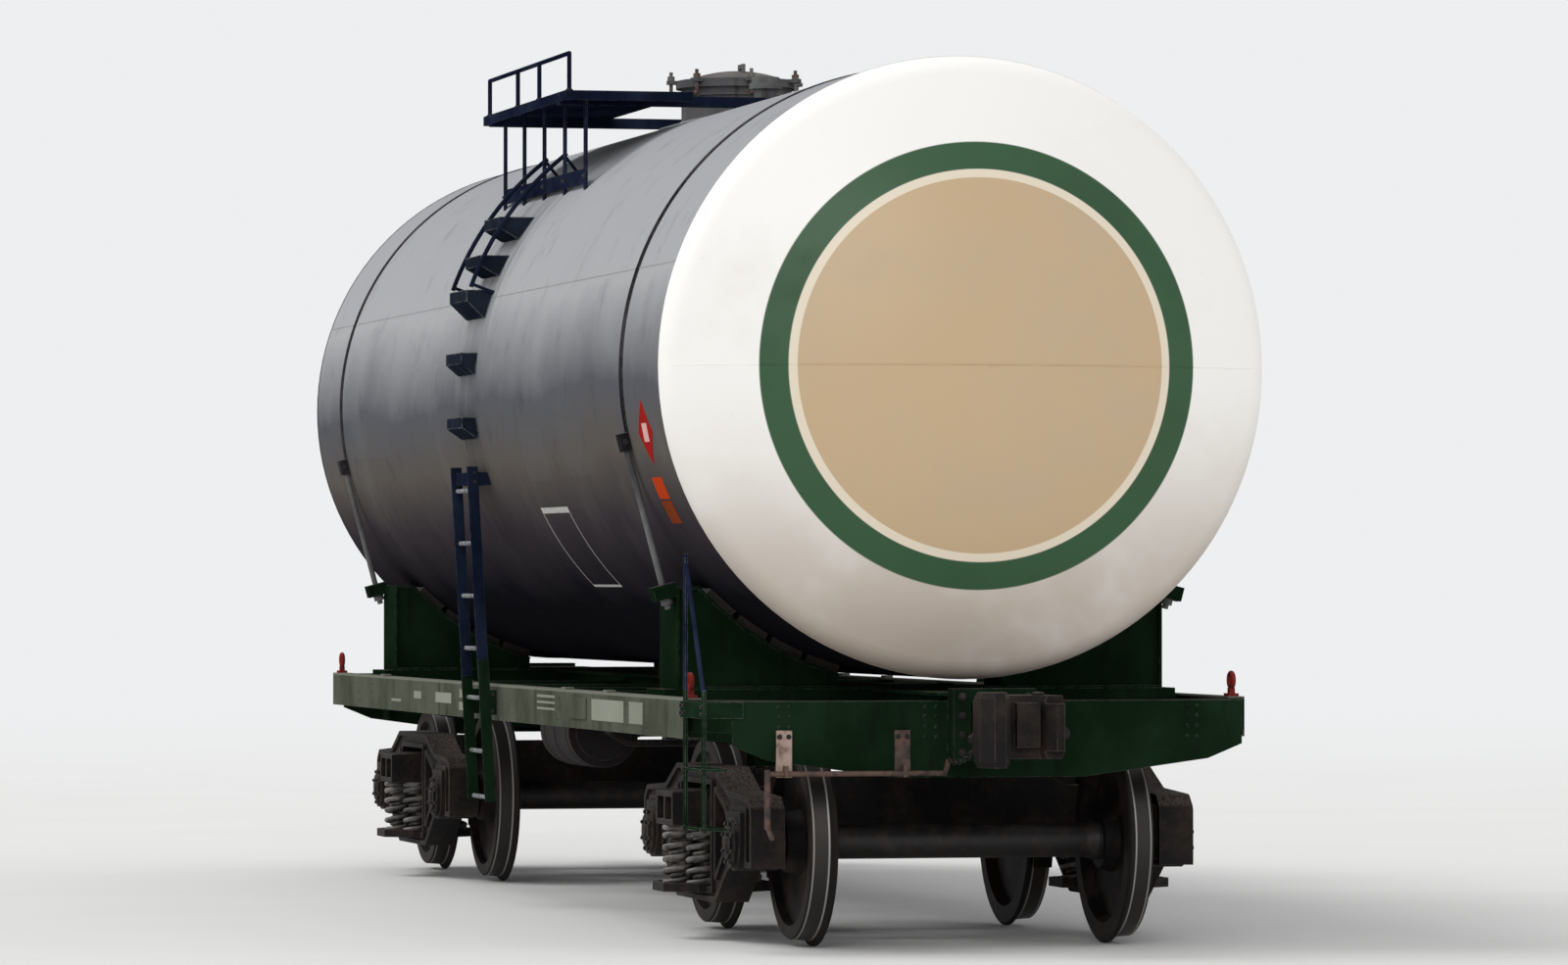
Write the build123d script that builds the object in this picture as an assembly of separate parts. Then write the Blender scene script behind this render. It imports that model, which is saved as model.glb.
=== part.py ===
from build123d import *
from math import asin, cos, radians, sin, sqrt, tan
import os

# A four-axle railway tank car for petrol, in millimetres, empty and standing.
# X runs along the car, Y across it and Z up. The origin is in the middle of the
# car on the plane that the wheel flanges stand on.
# Heights are written from the top of the rails and RAIL is added to them.

# Wheels and axles
FLANGE_HEIGHT = 28.0
FLANGE_THICKNESS = 32.0
FLANGE_ROUND = 8.0
TREAD_RADIUS = 475.0
TREAD_TAPER = 6.0
BACK_TO_BACK = 1440.0
WHEEL_WIDTH = 130.0
RIM_DEPTH = 72.0
WEB_THICKNESS = 26.0
WEB_FILLET = 22.0
HUB_RADIUS = 138.0
HUB_OVERHANG = 35.0
AXLE_RADIUS = 82.5
AXLE_TAPER = 60.0
WHEEL_SEAT_RADIUS = 97.0
WHEEL_SEAT_MARGIN = 10.0
JOURNAL_RADIUS = 65.0
JOURNAL_LENGTH = 185.0
COLLAR_GAP = 5.0
PRESSED_GAP = 0.05
RUNNING_GAP = 0.3

# Bogies
BOGIE_SPAN = 7800.0
WHEELBASE = 1850.0
BOX_HALF_WIDTH = 135.0
BOX_HEIGHT_UP = 150.0
BOX_LENGTH = 210.0
BOX_CLEARANCE = 28.0
BOX_COVER_RADIUS = 120.0
BOX_COVER = 22.0
BOX_CAP_RADIUS = 79.0
BOX_CAP = 16.0
FRAME_THICKNESS = 170.0
FRAME_TOP = 830.0
FRAME_BOTTOM = 165.0
FRAME_ARCH = 95.0
FRAME_NOSE = 15.0
FRAME_NOSE_REACH = 141.0
JAW_GAP = 5.0
JAW_DEPTH = 115.0
JAW_WALL = 84.0
WINDOW_HALF_WIDTH = 330.0
WINDOW_TOP = 740.0
COLUMN_WIDTH = 100.0
EYE_MARGIN = 66.0
FRAME_ROUND = 55.0
FRAME_RIB = 26.0
FRAME_RECESS = 22.0
SEAT_THICKNESS = 28.0
SEAT_MARGIN = 22.0
SEAT_LIP = (12.0, 18.0)
SPRING_SEAT = 235.0
SPRING_TOP = 535.0
SPRING_RADIUS = 82.0
SPRING_SPACE = 8.0
SPRING_WIRE = 30.0
SPRING_COILS = 6
BOLSTER_HALF_WIDTH = 190.0
BOLSTER_TOP = 775.0
BOLSTER_BOTTOM = 420.0
BOLSTER_END_DROP = 75.0
BOLSTER_END_MARGIN = 10.0
BOLSTER_POCKET = (26.0, 60.0)
CENTRE_PLATE_RADIUS = 150.0
BOWL_RIM = 32.0
BOWL_HEIGHT = 25.0
SIDE_BEARER_SPAN = 1524.0
BEARER_TOP = 812.0
BEARER_FOOT = 60.0
BEARER_HALF_LENGTH = 95.0
BEARER_HALF_WIDTH = 55.0
BEARER_GAP = 8.0
WEDGE_HEIGHT = 165.0
WEDGE_TOE = 55.0
WEDGE_HEEL = 42.0
WEDGE_HALF_WIDTH = 75.0
SHOE_GAP = 8.0
SHOE_THICKNESS = 45.0
SHOE_HALF_WIDTH = 42.0
SHOE_RISE = 150.0
SHOE_DROP = 190.0
HANGER_RADIUS = 13.0
HANGER_PIN_RADIUS = 9.0
BRAKE_BEAM_RADIUS = 24.0
BRAKE_BEAM_DROP = 20.0
TRUSS_DEPTH = 95.0
TRUSS_DROP = 40.0
TRUSS_RADIUS = 15.0

# Underframe
AXLE_OVERHANG = 575.0
COUPLER_REACH = 610.0
COUPLER_HEIGHT = 1050.0
SILL_INNER = 175.0
SILL_WEB = 14.0
SILL_FLANGE = 100.0
SILL_HEAD = 60.0
SILL_BOTTOM = 895.0
SILL_TOP = 1205.0
COVER_PLATE = 12.0
OUTLET_CLEARANCE = 45.0
STIFFENER = 10.0
SIDE_SILL_Y = 1395.0
SIDE_SILL_SETBACK = 400.0
SIDE_SILL_BOTTOM = 980.0
SIDE_SILL_TOP = 1175.0
SIDE_SILL_WEB = 8.0
SIDE_SILL_FLANGE = 75.0
FIT_UP_GAP = 4.0
BODY_BOLSTER_WIDTH = 400.0
BODY_BOLSTER_BOTTOM = 860.0
BODY_BOLSTER_KNEE = 500.0
BODY_BEARER_HALF = (90.0, 60.0)
CROSS_BEAM_X = (-2000.0, -620.0, 620.0, 2000.0)
CROSS_BEAM_WIDTH = 90.0
CROSS_BEAM_KNEE = 260.0

# End beams
END_BEAM_INSET = 135.0
END_BEAM_DEPTH = 180.0
END_BEAM_TOP = 1165.0
END_BEAM_EDGE = 955.0
END_BEAM_KNEE = (1090.0, 885.0)
END_BEAM_FOOT = 800.0
END_BEAM_FOOT_HALF = 470.0
END_BEAM_LIP = 120.0
END_PLATE = 12.0
CORNER_INNER = 900.0
CORNER_LAP = (150.0, 80.0)
CORNER_SKIRT = 150.0
END_RIB_Y = 1010.0
END_RIB = 16.0
SHANK_OPENING_HALF = 150.0
STRIKER_DEPTH = 110.0
STRIKER_HALF = 205.0
STRIKER_FOOT = 880.0
STRIKER_TOP = 1225.0
STRIKER_MOUTH_HALF = 118.0
STRIKER_MOUTH_TOP = 1160.0

# Couplers, outlines from the middle of the pull face
SHANK_HEIGHT = 170.0
SHANK_HALF_WIDTH = 65.0
SHANK_INSIDE = 380.0
COLLAR_X = (-330.0, -270.0)
COLLAR_HALF = (95.0, 115.0)
COUPLER_HEAD = (
    (-300.0, 65.0), (-215.0, 125.0), (-120.0, 180.0), (10.0, 205.0), (62.0, 188.0),
    (70.0, 150.0), (20.0, 112.0), (-42.0, 92.0), (-52.0, 20.0), (-30.0, -52.0),
    (58.0, -78.0), (120.0, -112.0), (128.0, -168.0), (60.0, -222.0), (-110.0, -214.0),
    (-210.0, -130.0), (-300.0, -65.0),
)
COUPLER_HEAD_HALF = 150.0
COUPLER_EDGE = 30.0
COUPLER_SLOPE = 22.0
SMALL_TOOTH = ((5.0, 71.0), (95.0, 206.0), 112.0)
COUPLER_TOOTH = (
    (-90.0, -212.0), (60.0, -222.0), (128.0, -168.0), (120.0, -112.0), (58.0, -78.0),
    (-60.0, -70.0),
)
COUPLER_TOOTH_Z = (-190.0, 165.0)
COUPLER_LOCK = ((-80.0, 8.0), (-28.0, 84.0), (-95.0, 115.0))

# Tank
TANK_RADIUS = 1510.0
TANK_GAP = 59.0
TANK_CYLINDER = 9800.0
HEAD_DEPTH = 480.0
HEAD_KNUCKLE = 150.0

# Saddles and straps
BLOCK_THICKNESS = 40.0
BLOCK_ANGLES = (19.0, 26.5, 34.0, 41.5)
BLOCK_WIDTH = 170.0
SADDLE_INNER = 420.0
SADDLE_RISE = 505.0
SADDLE_HORN = 113.0
SADDLE_LENGTH = 360.0
SADDLE_LIP = 20.0
SADDLE_PLATE = 12.0
SADDLE_TOP_PLATE_Y = 900.0
STRAP_OFFSET = 140.0
STRAP_WIDTH = 62.0
STRAP_THICKNESS = 6.0
STRAP_END_ANGLE = 15.0
STRAP_SHOE = (90.0, 60.0)
ROD_RADIUS = 16.0
ROD_STANDOFF = 22.0
ROD_DROP = 60.0
LUG_WIDTH = 100.0
LUG_HEIGHT = 70.0
LUG_OUTER = 60.0
LUG_ROOT = 15.0
NUT_RADIUS = 30.0
NUT_HEIGHT = 30.0
THREAD_END = 22.0
ANCHOR_X = (320.0, 900.0)
ANCHOR_RISE = 60.0

# Hatch on the crest
NECK_INNER_RADIUS = 285.0
NECK_WALL = 20.0
NECK_HEIGHT = 190.0
NECK_ROOT = 60.0
NECK_FLANGE_RADIUS = 335.0
NECK_FLANGE = 26.0
LID_RADIUS = 325.0
LID_THICKNESS = 20.0
LID_DOME_HEIGHT = 55.0
LID_RIM = 45.0
LID_HINGE_X = -385.0
LID_HINGE_RISE = 12.0
LID_ARM_END = -200.0
LID_KNUCKLE_RADIUS = 20.0
LID_KNUCKLE_HALF = 30.0
HINGE_EAR = (36.0, 50.0)
HINGE_EAR_MARGIN = 2.0
HINGE_PIN_RADIUS = 10.0
HINGE_PIN_END = 10.0
HINGE_PIN_GAP = 0.1
LID_BOLT_ANGLES = (0.0, 50.0, -50.0, 100.0, -100.0)
LID_BOLT_CIRCLE = 362.0
LID_BOLT_RADIUS = 10.0
LID_BOLT_LENGTH = 132.0
LID_EAR = (24.0, 26.0)
LID_NUT = (24.0, 20.0)
LID_EYE = (18.0, 15.0)
LIFT_X = (60.0, 180.0)
LIFT_HALF_WIDTH = 8.0
LIFT_HEIGHT = 85.0
LIFT_BAR = 25.0

# Relief valve: radius and the heights above the crest where each step starts and ends
VALVE_X = 700.0
VALVE_STEPS = (
    (95.0, -50.0, 30.0),
    (62.0, 30.0, 120.0),
    (88.0, 120.0, 150.0),
    (74.0, 150.0, 185.0),
)

# Platform on the crest
DECK_HALF_LENGTH = 1150.0
DECK_INNER = 500.0
DECK_OUTER = 1200.0
DECK_THICKNESS = 12.0
DECK_RISE = 56.0
DECK_RIM = 40.0
DECK_RIM_PLATE = 6.0
DECK_BEAM_X = 950.0
DECK_BEAM_HALF = 30.0
DECK_BEAM_GAP = 1.0
DECK_POST_ANGLE = 44.3
DECK_POST_X = (-1110.0, -560.0, 0.0, 560.0, 1110.0)
DECK_POST_HALF = 28.0
DECK_POST_PLATE = 12.0
DECK_TIE_Z = (30.0, 110.0)
RAIL_RISE = 200.0
RAIL_INSET = (40.0, 30.0)
RAIL_POST_X = 300.0

# Steps and ladders
LADDER_HALF_WIDTH = 230.0
LADDER_TOP_DROP = 414.0
LADDER_BOTTOM = 540.0
LADDER_STANDOFF = (33.0, 18.0)
LADDER_SPLIT = 1310.0
UPPER_LADDER_FOOT = 1215.0
LADDER_BAR = (60.0, 12.0)
UPPER_RUNG_COUNT = 4
UPPER_RUNG_MARGIN = (155.0, 130.0)
LOWER_RUNGS = (1100.0, 810.0, 560.0)
RUNG_RADIUS = 12.0
RUNG_LAP = 2.0
BRACKET_DROP = 100.0
BRACKET_HEIGHT = 70.0
BRACKET_ROOT = 80.0
# Steps on the shell: angles of the low and high edge above the tank's axis, how far
# they stand out, half width
TANK_STEPS = (
    (-10.0, -5.5, 80.0, 220.0),
    (3.3, 7.8, 80.0, 220.0),
    (15.2, 21.2, 105.0, 245.0),
    (24.5, 29.2, 105.0, 220.0),
    (33.2, 38.8, 110.0, 220.0),
)
STEP_LIP = 60.0
STEP_TOE = 12.0
HANDRAIL_RADIUS = 12.0
HANDRAIL_STANDOFF = 130.0
HANDRAIL_ANGLES = (20.0, 52.0)
HANDRAIL_X = 264.0
STANDOFF_RADIUS = 9.0
STANDOFF_ANGLE = 0.6
STEP_POST_GAP = 40.0
STEP_POST_OUT = 7.0
STEP_POST_TOP = 1870.0
STEP_SECOND_TOP = 1220.0
STEP_BRACE_RADIUS = 11.0
CORNER_STEP_BOTTOM = 545.0
CORNER_TREADS = (560.0, 840.0)
TREAD_DEPTH = 120.0
CORNER_BAR = (50.0, 12.0)
CORNER_STRAP_Z = (90.0, 12.0)
CORNER_STRAP_REACH = 90.0

# Bottom outlet
OUTLET_RADIUS = 105.0
OUTLET_BELL = 30.0
OUTLET_ROOT = 40.0
OUTLET_FLANGE_RADIUS = 135.0
OUTLET_FLANGE = 25.0
OUTLET_FACE = 640.0
CAP_MARGIN = 15.0
CAP_HINGE_X = 165.0
CAP_THICKNESS = 22.0
CAP_EAR = (28.0, 40.0)
CAP_EAR_HALF = 16.0
CAP_KNUCKLE_RADIUS = 18.0
CAP_KNUCKLE_HALF = 22.0
CAP_BOSS = (40.0, 45.0)
CAP_SCREW = (14.0, 110.0)
CAP_TEE = (9.0, 70.0)

# Air brake
CYLINDER_RADIUS = 190.0
CYLINDER_PLACE = (1250.0, 520.0, 880.0)
CYLINDER_LENGTH = 520.0
RESERVOIR_RADIUS = 200.0
RESERVOIR_PLACE = (-1300.0, -560.0, 890.0)
RESERVOIR_LENGTH = 800.0
VESSEL_END = 25.0
VESSEL_END_SHARE = 0.8
VESSEL_SHELF = (35.0, 95.0)
VESSEL_BRACKET_HALF = 20.0
PISTON_ROD_RADIUS = 24.0
LEVER_REACH = 95.0
LEVER_HALF_WIDTH = 28.0
LEVER_HALF_THICKNESS = 10.0
LEVER_DROP = 38.0
LEVER_ROD_Y = 205.0
LEVER_END = 60.0
LEVER_HANGER_HALF = 20.0
PULL_ROD_RADIUS = 14.0
PULL_ROD_GAP = 215.0
PIPE_RADIUS = 21.0
PIPE_Y = 330.0
PIPE_HEIGHT = 1010.0
PIPE_REACH = 60.0
COCK_RADIUS = 34.0
COCK_X = (-30.0, 70.0)
COCK_HANDLE_X = 20.0
COCK_HANDLE_RISE = 62.0
COCK_HANDLE_RADIUS = 15.0
NIPPLE_RADIUS = 17.0
NIPPLE_LENGTH = 45.0

# Uncoupling levers and tow cleats
ROD_GAP = 50.0
ROD_HEIGHT = 822.0
ROD_Y = (-1100.0, -225.0)
LEVER_ROD_RADIUS = 13.0
HANDLE_FOOT = 560.0
HANDLE_TOP = 20.0
HANDLE_RADIUS = 15.0
GRIP_REACH = 90.0
GRIP_RISE = (15.0, -40.0)
GRIP_RADIUS = 12.0
ROD_BRACKET_Y = (-1010.0, -430.0)
ROD_BRACKET_PLATE = (38.0, 12.0)
ROD_BRACKET_ARM = 9.0
ROD_BRACKET_RISE = (-18.0, 205.0)
ROD_BRACKET_END = 18.0
CRANK = (7.0, 70.0)
CLEAT_X = 90.0
CLEAT_Y = 40.0
CLEAT_FOOT = (45.0, 25.0, 14.0)
CLEAT_NECK = (18.0, 14.0, 40.0)
CLEAT_RING = (34.0, 13.0, 78.0)

# What follows from the sizes above
RAIL = FLANGE_HEIGHT
AXLE_Z = RAIL + TREAD_RADIUS
WHEEL_BACK = BACK_TO_BACK / 2
BOGIE_X = BOGIE_SPAN / 2
HALF_BASE = WHEELBASE / 2
BOX_INNER = WHEEL_BACK + WHEEL_WIDTH + HUB_OVERHANG + BOX_CLEARANCE
JOURNAL_Y = BOX_INNER + BOX_LENGTH / 2
HALF_FRAME = BOGIE_X + HALF_BASE + AXLE_OVERHANG
PULL_FACE = HALF_FRAME + COUPLER_REACH
SIDE_SILL_END = HALF_FRAME - SIDE_SILL_SETBACK
SIDE_SILL_INSIDE = SIDE_SILL_Y - SIDE_SILL_WEB
END_BEAM_HALF = SIDE_SILL_Y - END_BEAM_INSET
WEB_OUTER = SILL_INNER + SILL_WEB
TANK_FOOT = RAIL + SILL_TOP + TANK_GAP
TANK_Z = TANK_FOOT + TANK_RADIUS
CREST = TANK_Z + TANK_RADIUS
TANK_END = TANK_CYLINDER / 2
SEAT_RADIUS = TANK_RADIUS + BLOCK_THICKNESS
SADDLE_BASE = RAIL + SILL_TOP
SADDLE_TOP = SADDLE_BASE + SADDLE_RISE
SADDLE_HALF = sqrt(SEAT_RADIUS ** 2 - (TANK_Z - SADDLE_TOP) ** 2) + SADDLE_HORN
STRAP_X = BOGIE_X + STRAP_OFFSET
NECK_TOP = CREST + NECK_HEIGHT
LID_HINGE_Z = NECK_TOP + LID_HINGE_RISE
DECK_Z = CREST + DECK_RISE
SPRING_PITCH = 2 * SPRING_RADIUS + SPRING_SPACE
SPRING_ROW = SPRING_PITCH * sin(radians(60))
NEST_LENGTH = SPRING_ROW + SPRING_RADIUS
NEST_REACH = SPRING_PITCH + SPRING_RADIUS
LADDER_TOP = TANK_Z - LADDER_TOP_DROP - RAIL
STEP_POST_X = (SIDE_SILL_END + STEP_POST_GAP, HALF_FRAME + STEP_POST_GAP)
STEP_POST_Y = SIDE_SILL_Y + STEP_POST_OUT
LEVER_X = CYLINDER_PLACE[0] + CYLINDER_LENGTH / 2 + LEVER_REACH


def block(x, y, z):
    """A box between three pairs of coordinates."""
    size = [high - low for low, high in (x, y, z)]
    middle = [(high + low) / 2 for low, high in (x, y, z)]
    return Pos(*middle) * Box(*size)


def bar(start, end, radius):
    """A round bar between two points."""
    run = Vector(*end) - Vector(*start)
    return Solid.make_cylinder(radius, run.length, Plane(origin=start, z_dir=run))


def bar_y(x, z, y, radius):
    """A round bar across the car, between two values of Y."""
    return bar((x, y[0], z), (x, y[1], z), radius)


def post(x, y, z, radius):
    """An upright round bar, between two heights."""
    return bar((x, y, z[0]), (x, y, z[1]), radius)


def extrude_x(points, x):
    """A plate with its outline in Y and Z."""
    face = Face(Wire.make_polygon([(x[0], py, pz) for py, pz in points]))
    return Solid.extrude(face, Vector(x[1] - x[0], 0, 0))


def face_xz(points):
    """A flat face with its outline in X and Z, at zero across the car."""
    return Face(Wire.make_polygon([(px, 0, pz) for px, pz in points]))


def extrude_y(points, y):
    """A plate with its outline in X and Z."""
    face = Face(Wire.make_polygon([(px, y[0], pz) for px, pz in points]))
    return Solid.extrude(face, Vector(0, y[1] - y[0], 0))


def extrude_z(points, z):
    """A plate with its outline in X and Y."""
    face = Face(Wire.make_polygon([(px, py, z[0]) for px, py in points]))
    return Solid.extrude(face, Vector(0, 0, z[1] - z[0]))


def about(middle, half):
    """The two ends of a stretch from its middle and half its length."""
    return (middle - half, middle + half)


def wider(pair, margin=1.0):
    """A stretch with a margin past both ends, so that a cut goes right through."""
    return (pair[0] - margin, pair[1] + margin)


def span(a, b):
    return (min(a, b), max(a, b))


def both_ways(half):
    """An outline that is the same on both sides of zero, from its half."""
    return list(half) + [(-a, b) for a, b in reversed(half) if a > 0]


def raised(points):
    """Heights above the rail turned into heights above the floor."""
    return [(a, b + RAIL) for a, b in points]


def tank_tube(radius, x):
    """A cylinder round the tank's own axis."""
    return bar((x[0], 0, TANK_Z), (x[1], 0, TANK_Z), radius)


def clear_of_tank(shape, x):
    """The shape cut back to the running gap from the shell between two values of X."""
    return shape - tank_tube(TANK_RADIUS + RUNNING_GAP, wider(x))


def shell_y(z):
    """How far out the shell is at a height above the floor."""
    return sqrt(TANK_RADIUS ** 2 - (z - TANK_Z) ** 2)


def other_side(shape):
    return mirror(shape, about=Plane.XZ)


def other_end(shape):
    """The same piece at the other end, turned about the car's middle."""
    return Rot(0, 0, 180) * shape


def group(*pieces):
    return Part() + list(pieces)


def save(name, shape):
    shape.label = name
    export_step(shape, f"parts/{name}.step")


# Wheels and axles

def wheel():
    """One wheel with its axis along Y, its back face towards the middle."""
    back = WHEEL_BACK
    face = back + WHEEL_WIDTH
    web = back + WHEEL_WIDTH / 2
    rim = TREAD_RADIUS - RIM_DEPTH
    bore = WHEEL_SEAT_RADIUS + PRESSED_GAP
    flange = TREAD_RADIUS + FLANGE_HEIGHT
    root = HUB_RADIUS + WEB_FILLET
    inside = back - HUB_OVERHANG / 2
    profile = [
        (back, rim),
        (back, flange - 2 * FLANGE_ROUND),
        (back + FLANGE_ROUND, flange),
        (back + FLANGE_THICKNESS / 2, flange),
        (back + FLANGE_THICKNESS, TREAD_RADIUS + TREAD_TAPER),
        (back + FLANGE_THICKNESS + TREAD_TAPER, TREAD_RADIUS),
        (face - TREAD_TAPER, TREAD_RADIUS - TREAD_TAPER),
        (face, TREAD_RADIUS - 2 * TREAD_TAPER),
        (face, rim),
        (web + WEB_THICKNESS, rim - WEB_FILLET / 2),
        (web + WEB_THICKNESS / 2, root),
        (face + HUB_OVERHANG, HUB_RADIUS),
        (face + HUB_OVERHANG, bore),
        (inside, bore),
        (inside, HUB_RADIUS),
        (web - WEB_THICKNESS / 2, root),
        (web - WEB_THICKNESS / 4, rim - WEB_FILLET),
    ]
    section = Face(Wire.make_polygon([(0, y, r) for y, r in profile]))
    return revolve(section, Axis((0, 0, 0), (0, 1, 0)))


def axle():
    """The axle between and past its wheels, with its two journals."""
    seat_in = WHEEL_BACK - HUB_OVERHANG
    seat_out = WHEEL_BACK + WHEEL_WIDTH + HUB_OVERHANG + WHEEL_SEAT_MARGIN
    collar = JOURNAL_Y - BOX_LENGTH / 2 - COLLAR_GAP
    tip = JOURNAL_Y + JOURNAL_LENGTH / 2
    half = [
        (0, AXLE_RADIUS),
        (seat_in - AXLE_TAPER, AXLE_RADIUS),
        (seat_in, WHEEL_SEAT_RADIUS),
        (seat_out, WHEEL_SEAT_RADIUS),
        (seat_out, AXLE_RADIUS),
        (collar, AXLE_RADIUS),
        (collar, JOURNAL_RADIUS),
        (tip, JOURNAL_RADIUS),
        (tip, 0),
    ]
    section = Face(Wire.make_polygon([(0, y, r) for y, r in both_ways(half)]))
    return revolve(section, Axis((0, 0, 0), (0, 1, 0)))


def axle_box():
    """One bearing housing on the side of the positive Y, axle centre at zero."""
    inner, outer = about(JOURNAL_Y, BOX_LENGTH / 2)
    covered = outer + BOX_COVER
    depth = JOURNAL_Y + JOURNAL_LENGTH / 2 + COLLAR_GAP
    housing = bar_y(0, 0, (inner, outer), BOX_HALF_WIDTH)
    top = block(about(0, BOX_HALF_WIDTH), (inner, outer), (0, BOX_HEIGHT_UP))
    cover = bar_y(0, 0, (outer, covered), BOX_COVER_RADIUS)
    cap = bar_y(0, 0, (covered, covered + BOX_CAP), BOX_CAP_RADIUS)
    bore = bar_y(0, 0, (inner - 1, depth), JOURNAL_RADIUS + RUNNING_GAP)
    return group(housing, top, cover, cap) - bore


# Bogies, each about its own centre

def side_frame():
    """The cast side frame on the side of the positive Y."""
    jaw_in, jaw_out = about(HALF_BASE, BOX_HALF_WIDTH + JAW_GAP)
    jaw_top = TREAD_RADIUS + BOX_HEIGHT_UP
    jaw_foot = TREAD_RADIUS - JAW_DEPTH
    nose = jaw_out + FRAME_NOSE_REACH
    column = WINDOW_HALF_WIDTH + COLUMN_WIDTH
    shoulder = jaw_in - JAW_WALL
    half = [
        (0, FRAME_TOP),
        (column, FRAME_TOP),
        (shoulder, jaw_top + FRAME_ARCH),
        (jaw_out + FRAME_NOSE_REACH / 2, jaw_top + FRAME_ARCH * 0.8),
        (nose, jaw_top + FRAME_NOSE),
        (nose, jaw_foot),
        (jaw_out, jaw_foot),
        (jaw_out, jaw_top),
        (jaw_in, jaw_top),
        (jaw_in, jaw_foot),
        (shoulder, jaw_foot - JAW_WALL / 3),
        (column, FRAME_BOTTOM),
        (0, FRAME_BOTTOM),
    ]
    window = [
        (WINDOW_HALF_WIDTH, WINDOW_TOP),
        (WINDOW_HALF_WIDTH, SPRING_SEAT),
    ]
    eye = [
        (column, WINDOW_TOP - EYE_MARGIN / 2),
        (shoulder - EYE_MARGIN, jaw_top),
        (shoulder, jaw_top - EYE_MARGIN),
        (shoulder, jaw_foot + 2 * EYE_MARGIN),
        (column, SPRING_SEAT + EYE_MARGIN),
    ]
    eye_back = [(-x, z) for x, z in eye]
    plate = face_xz(raised(both_ways(half)))
    rounded = [v for v in plate.vertices() if v.Z > RAIL + jaw_top + 1 or abs(v.X) < jaw_in - 1]
    plate = plate.fillet_2d(FRAME_ROUND, rounded)
    openings = [face_xz(raised(points)) for points in (both_ways(window), eye, eye_back)]
    casting = thick(plate, JOURNAL_Y, FRAME_THICKNESS)
    hollow = thick(offset(plate, -FRAME_RIB), 0, FRAME_RECESS)
    for opening in openings:
        casting = casting - thick(opening, JOURNAL_Y, FRAME_THICKNESS + 2)
        hollow = hollow - thick(offset(opening, FRAME_RIB), 0, FRAME_RECESS + 2)
    for side in (-1, 1):
        y = JOURNAL_Y + side * (FRAME_THICKNESS - FRAME_RECESS) / 2
        casting = casting - Pos(0, y, 0) * hollow
    return group(casting, spring_seat())


def thick(face, y, thickness):
    """A plate from a flat face that is at zero across the car, its middle at Y."""
    plate = Solid.extrude(face.faces()[0], Vector(0, thickness, 0))
    return Pos(0, y - thickness / 2, 0) * plate


def spring_seat():
    """The plate of the side frame that a nest stands on, with a lip round its edge."""
    length = NEST_LENGTH + SEAT_MARGIN
    reach = NEST_REACH + SEAT_MARGIN
    corner = SPRING_RADIUS + 2 * SEAT_MARGIN
    z = RAIL + SPRING_SEAT
    lip_width, lip_height = SEAT_LIP

    def octagon(inset, heights):
        half = [
            (corner, reach - inset),
            (length - inset, corner),
            (length - inset, -corner),
            (corner, inset - reach),
        ]
        return extrude_z([(x, JOURNAL_Y + y) for x, y in both_ways(half)], heights)

    whole = octagon(0, (z - SEAT_THICKNESS, z + lip_height))
    return whole - octagon(lip_width, (z, z + lip_height + 1))


def nest_places():
    """Middles of the seven springs of one nest, in rows of two, three and two."""
    places = []
    for count, along in ((2, -SPRING_ROW), (3, 0.0), (2, SPRING_ROW)):
        for index in range(count):
            places.append((along, (index - (count - 1) / 2) * SPRING_PITCH))
    return places


def spring():
    """One coil spring as a ribbed barrel that stands on its seat, a rib for each coil."""
    foot = RAIL + SPRING_SEAT
    pitch = (SPRING_TOP - SPRING_SEAT - SPRING_WIRE) / (SPRING_COILS - 1)
    core = SPRING_RADIUS - SPRING_WIRE / 2
    outline = [(0, 0, foot)]
    for coil in range(SPRING_COILS):
        low = foot + coil * pitch
        high = low + SPRING_WIRE
        outline += [(core, 0, low), (SPRING_RADIUS, 0, low + SPRING_WIRE / 4)]
        outline += [(SPRING_RADIUS, 0, high - SPRING_WIRE / 4), (core, 0, high)]
    outline.append((0, 0, RAIL + SPRING_TOP))
    return revolve(Face(Wire.make_polygon(outline)), Axis.Z)


def spring_nest():
    barrel = spring()
    return [Pos(x, JOURNAL_Y + y, 0) * barrel for x, y in nest_places()]


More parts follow.
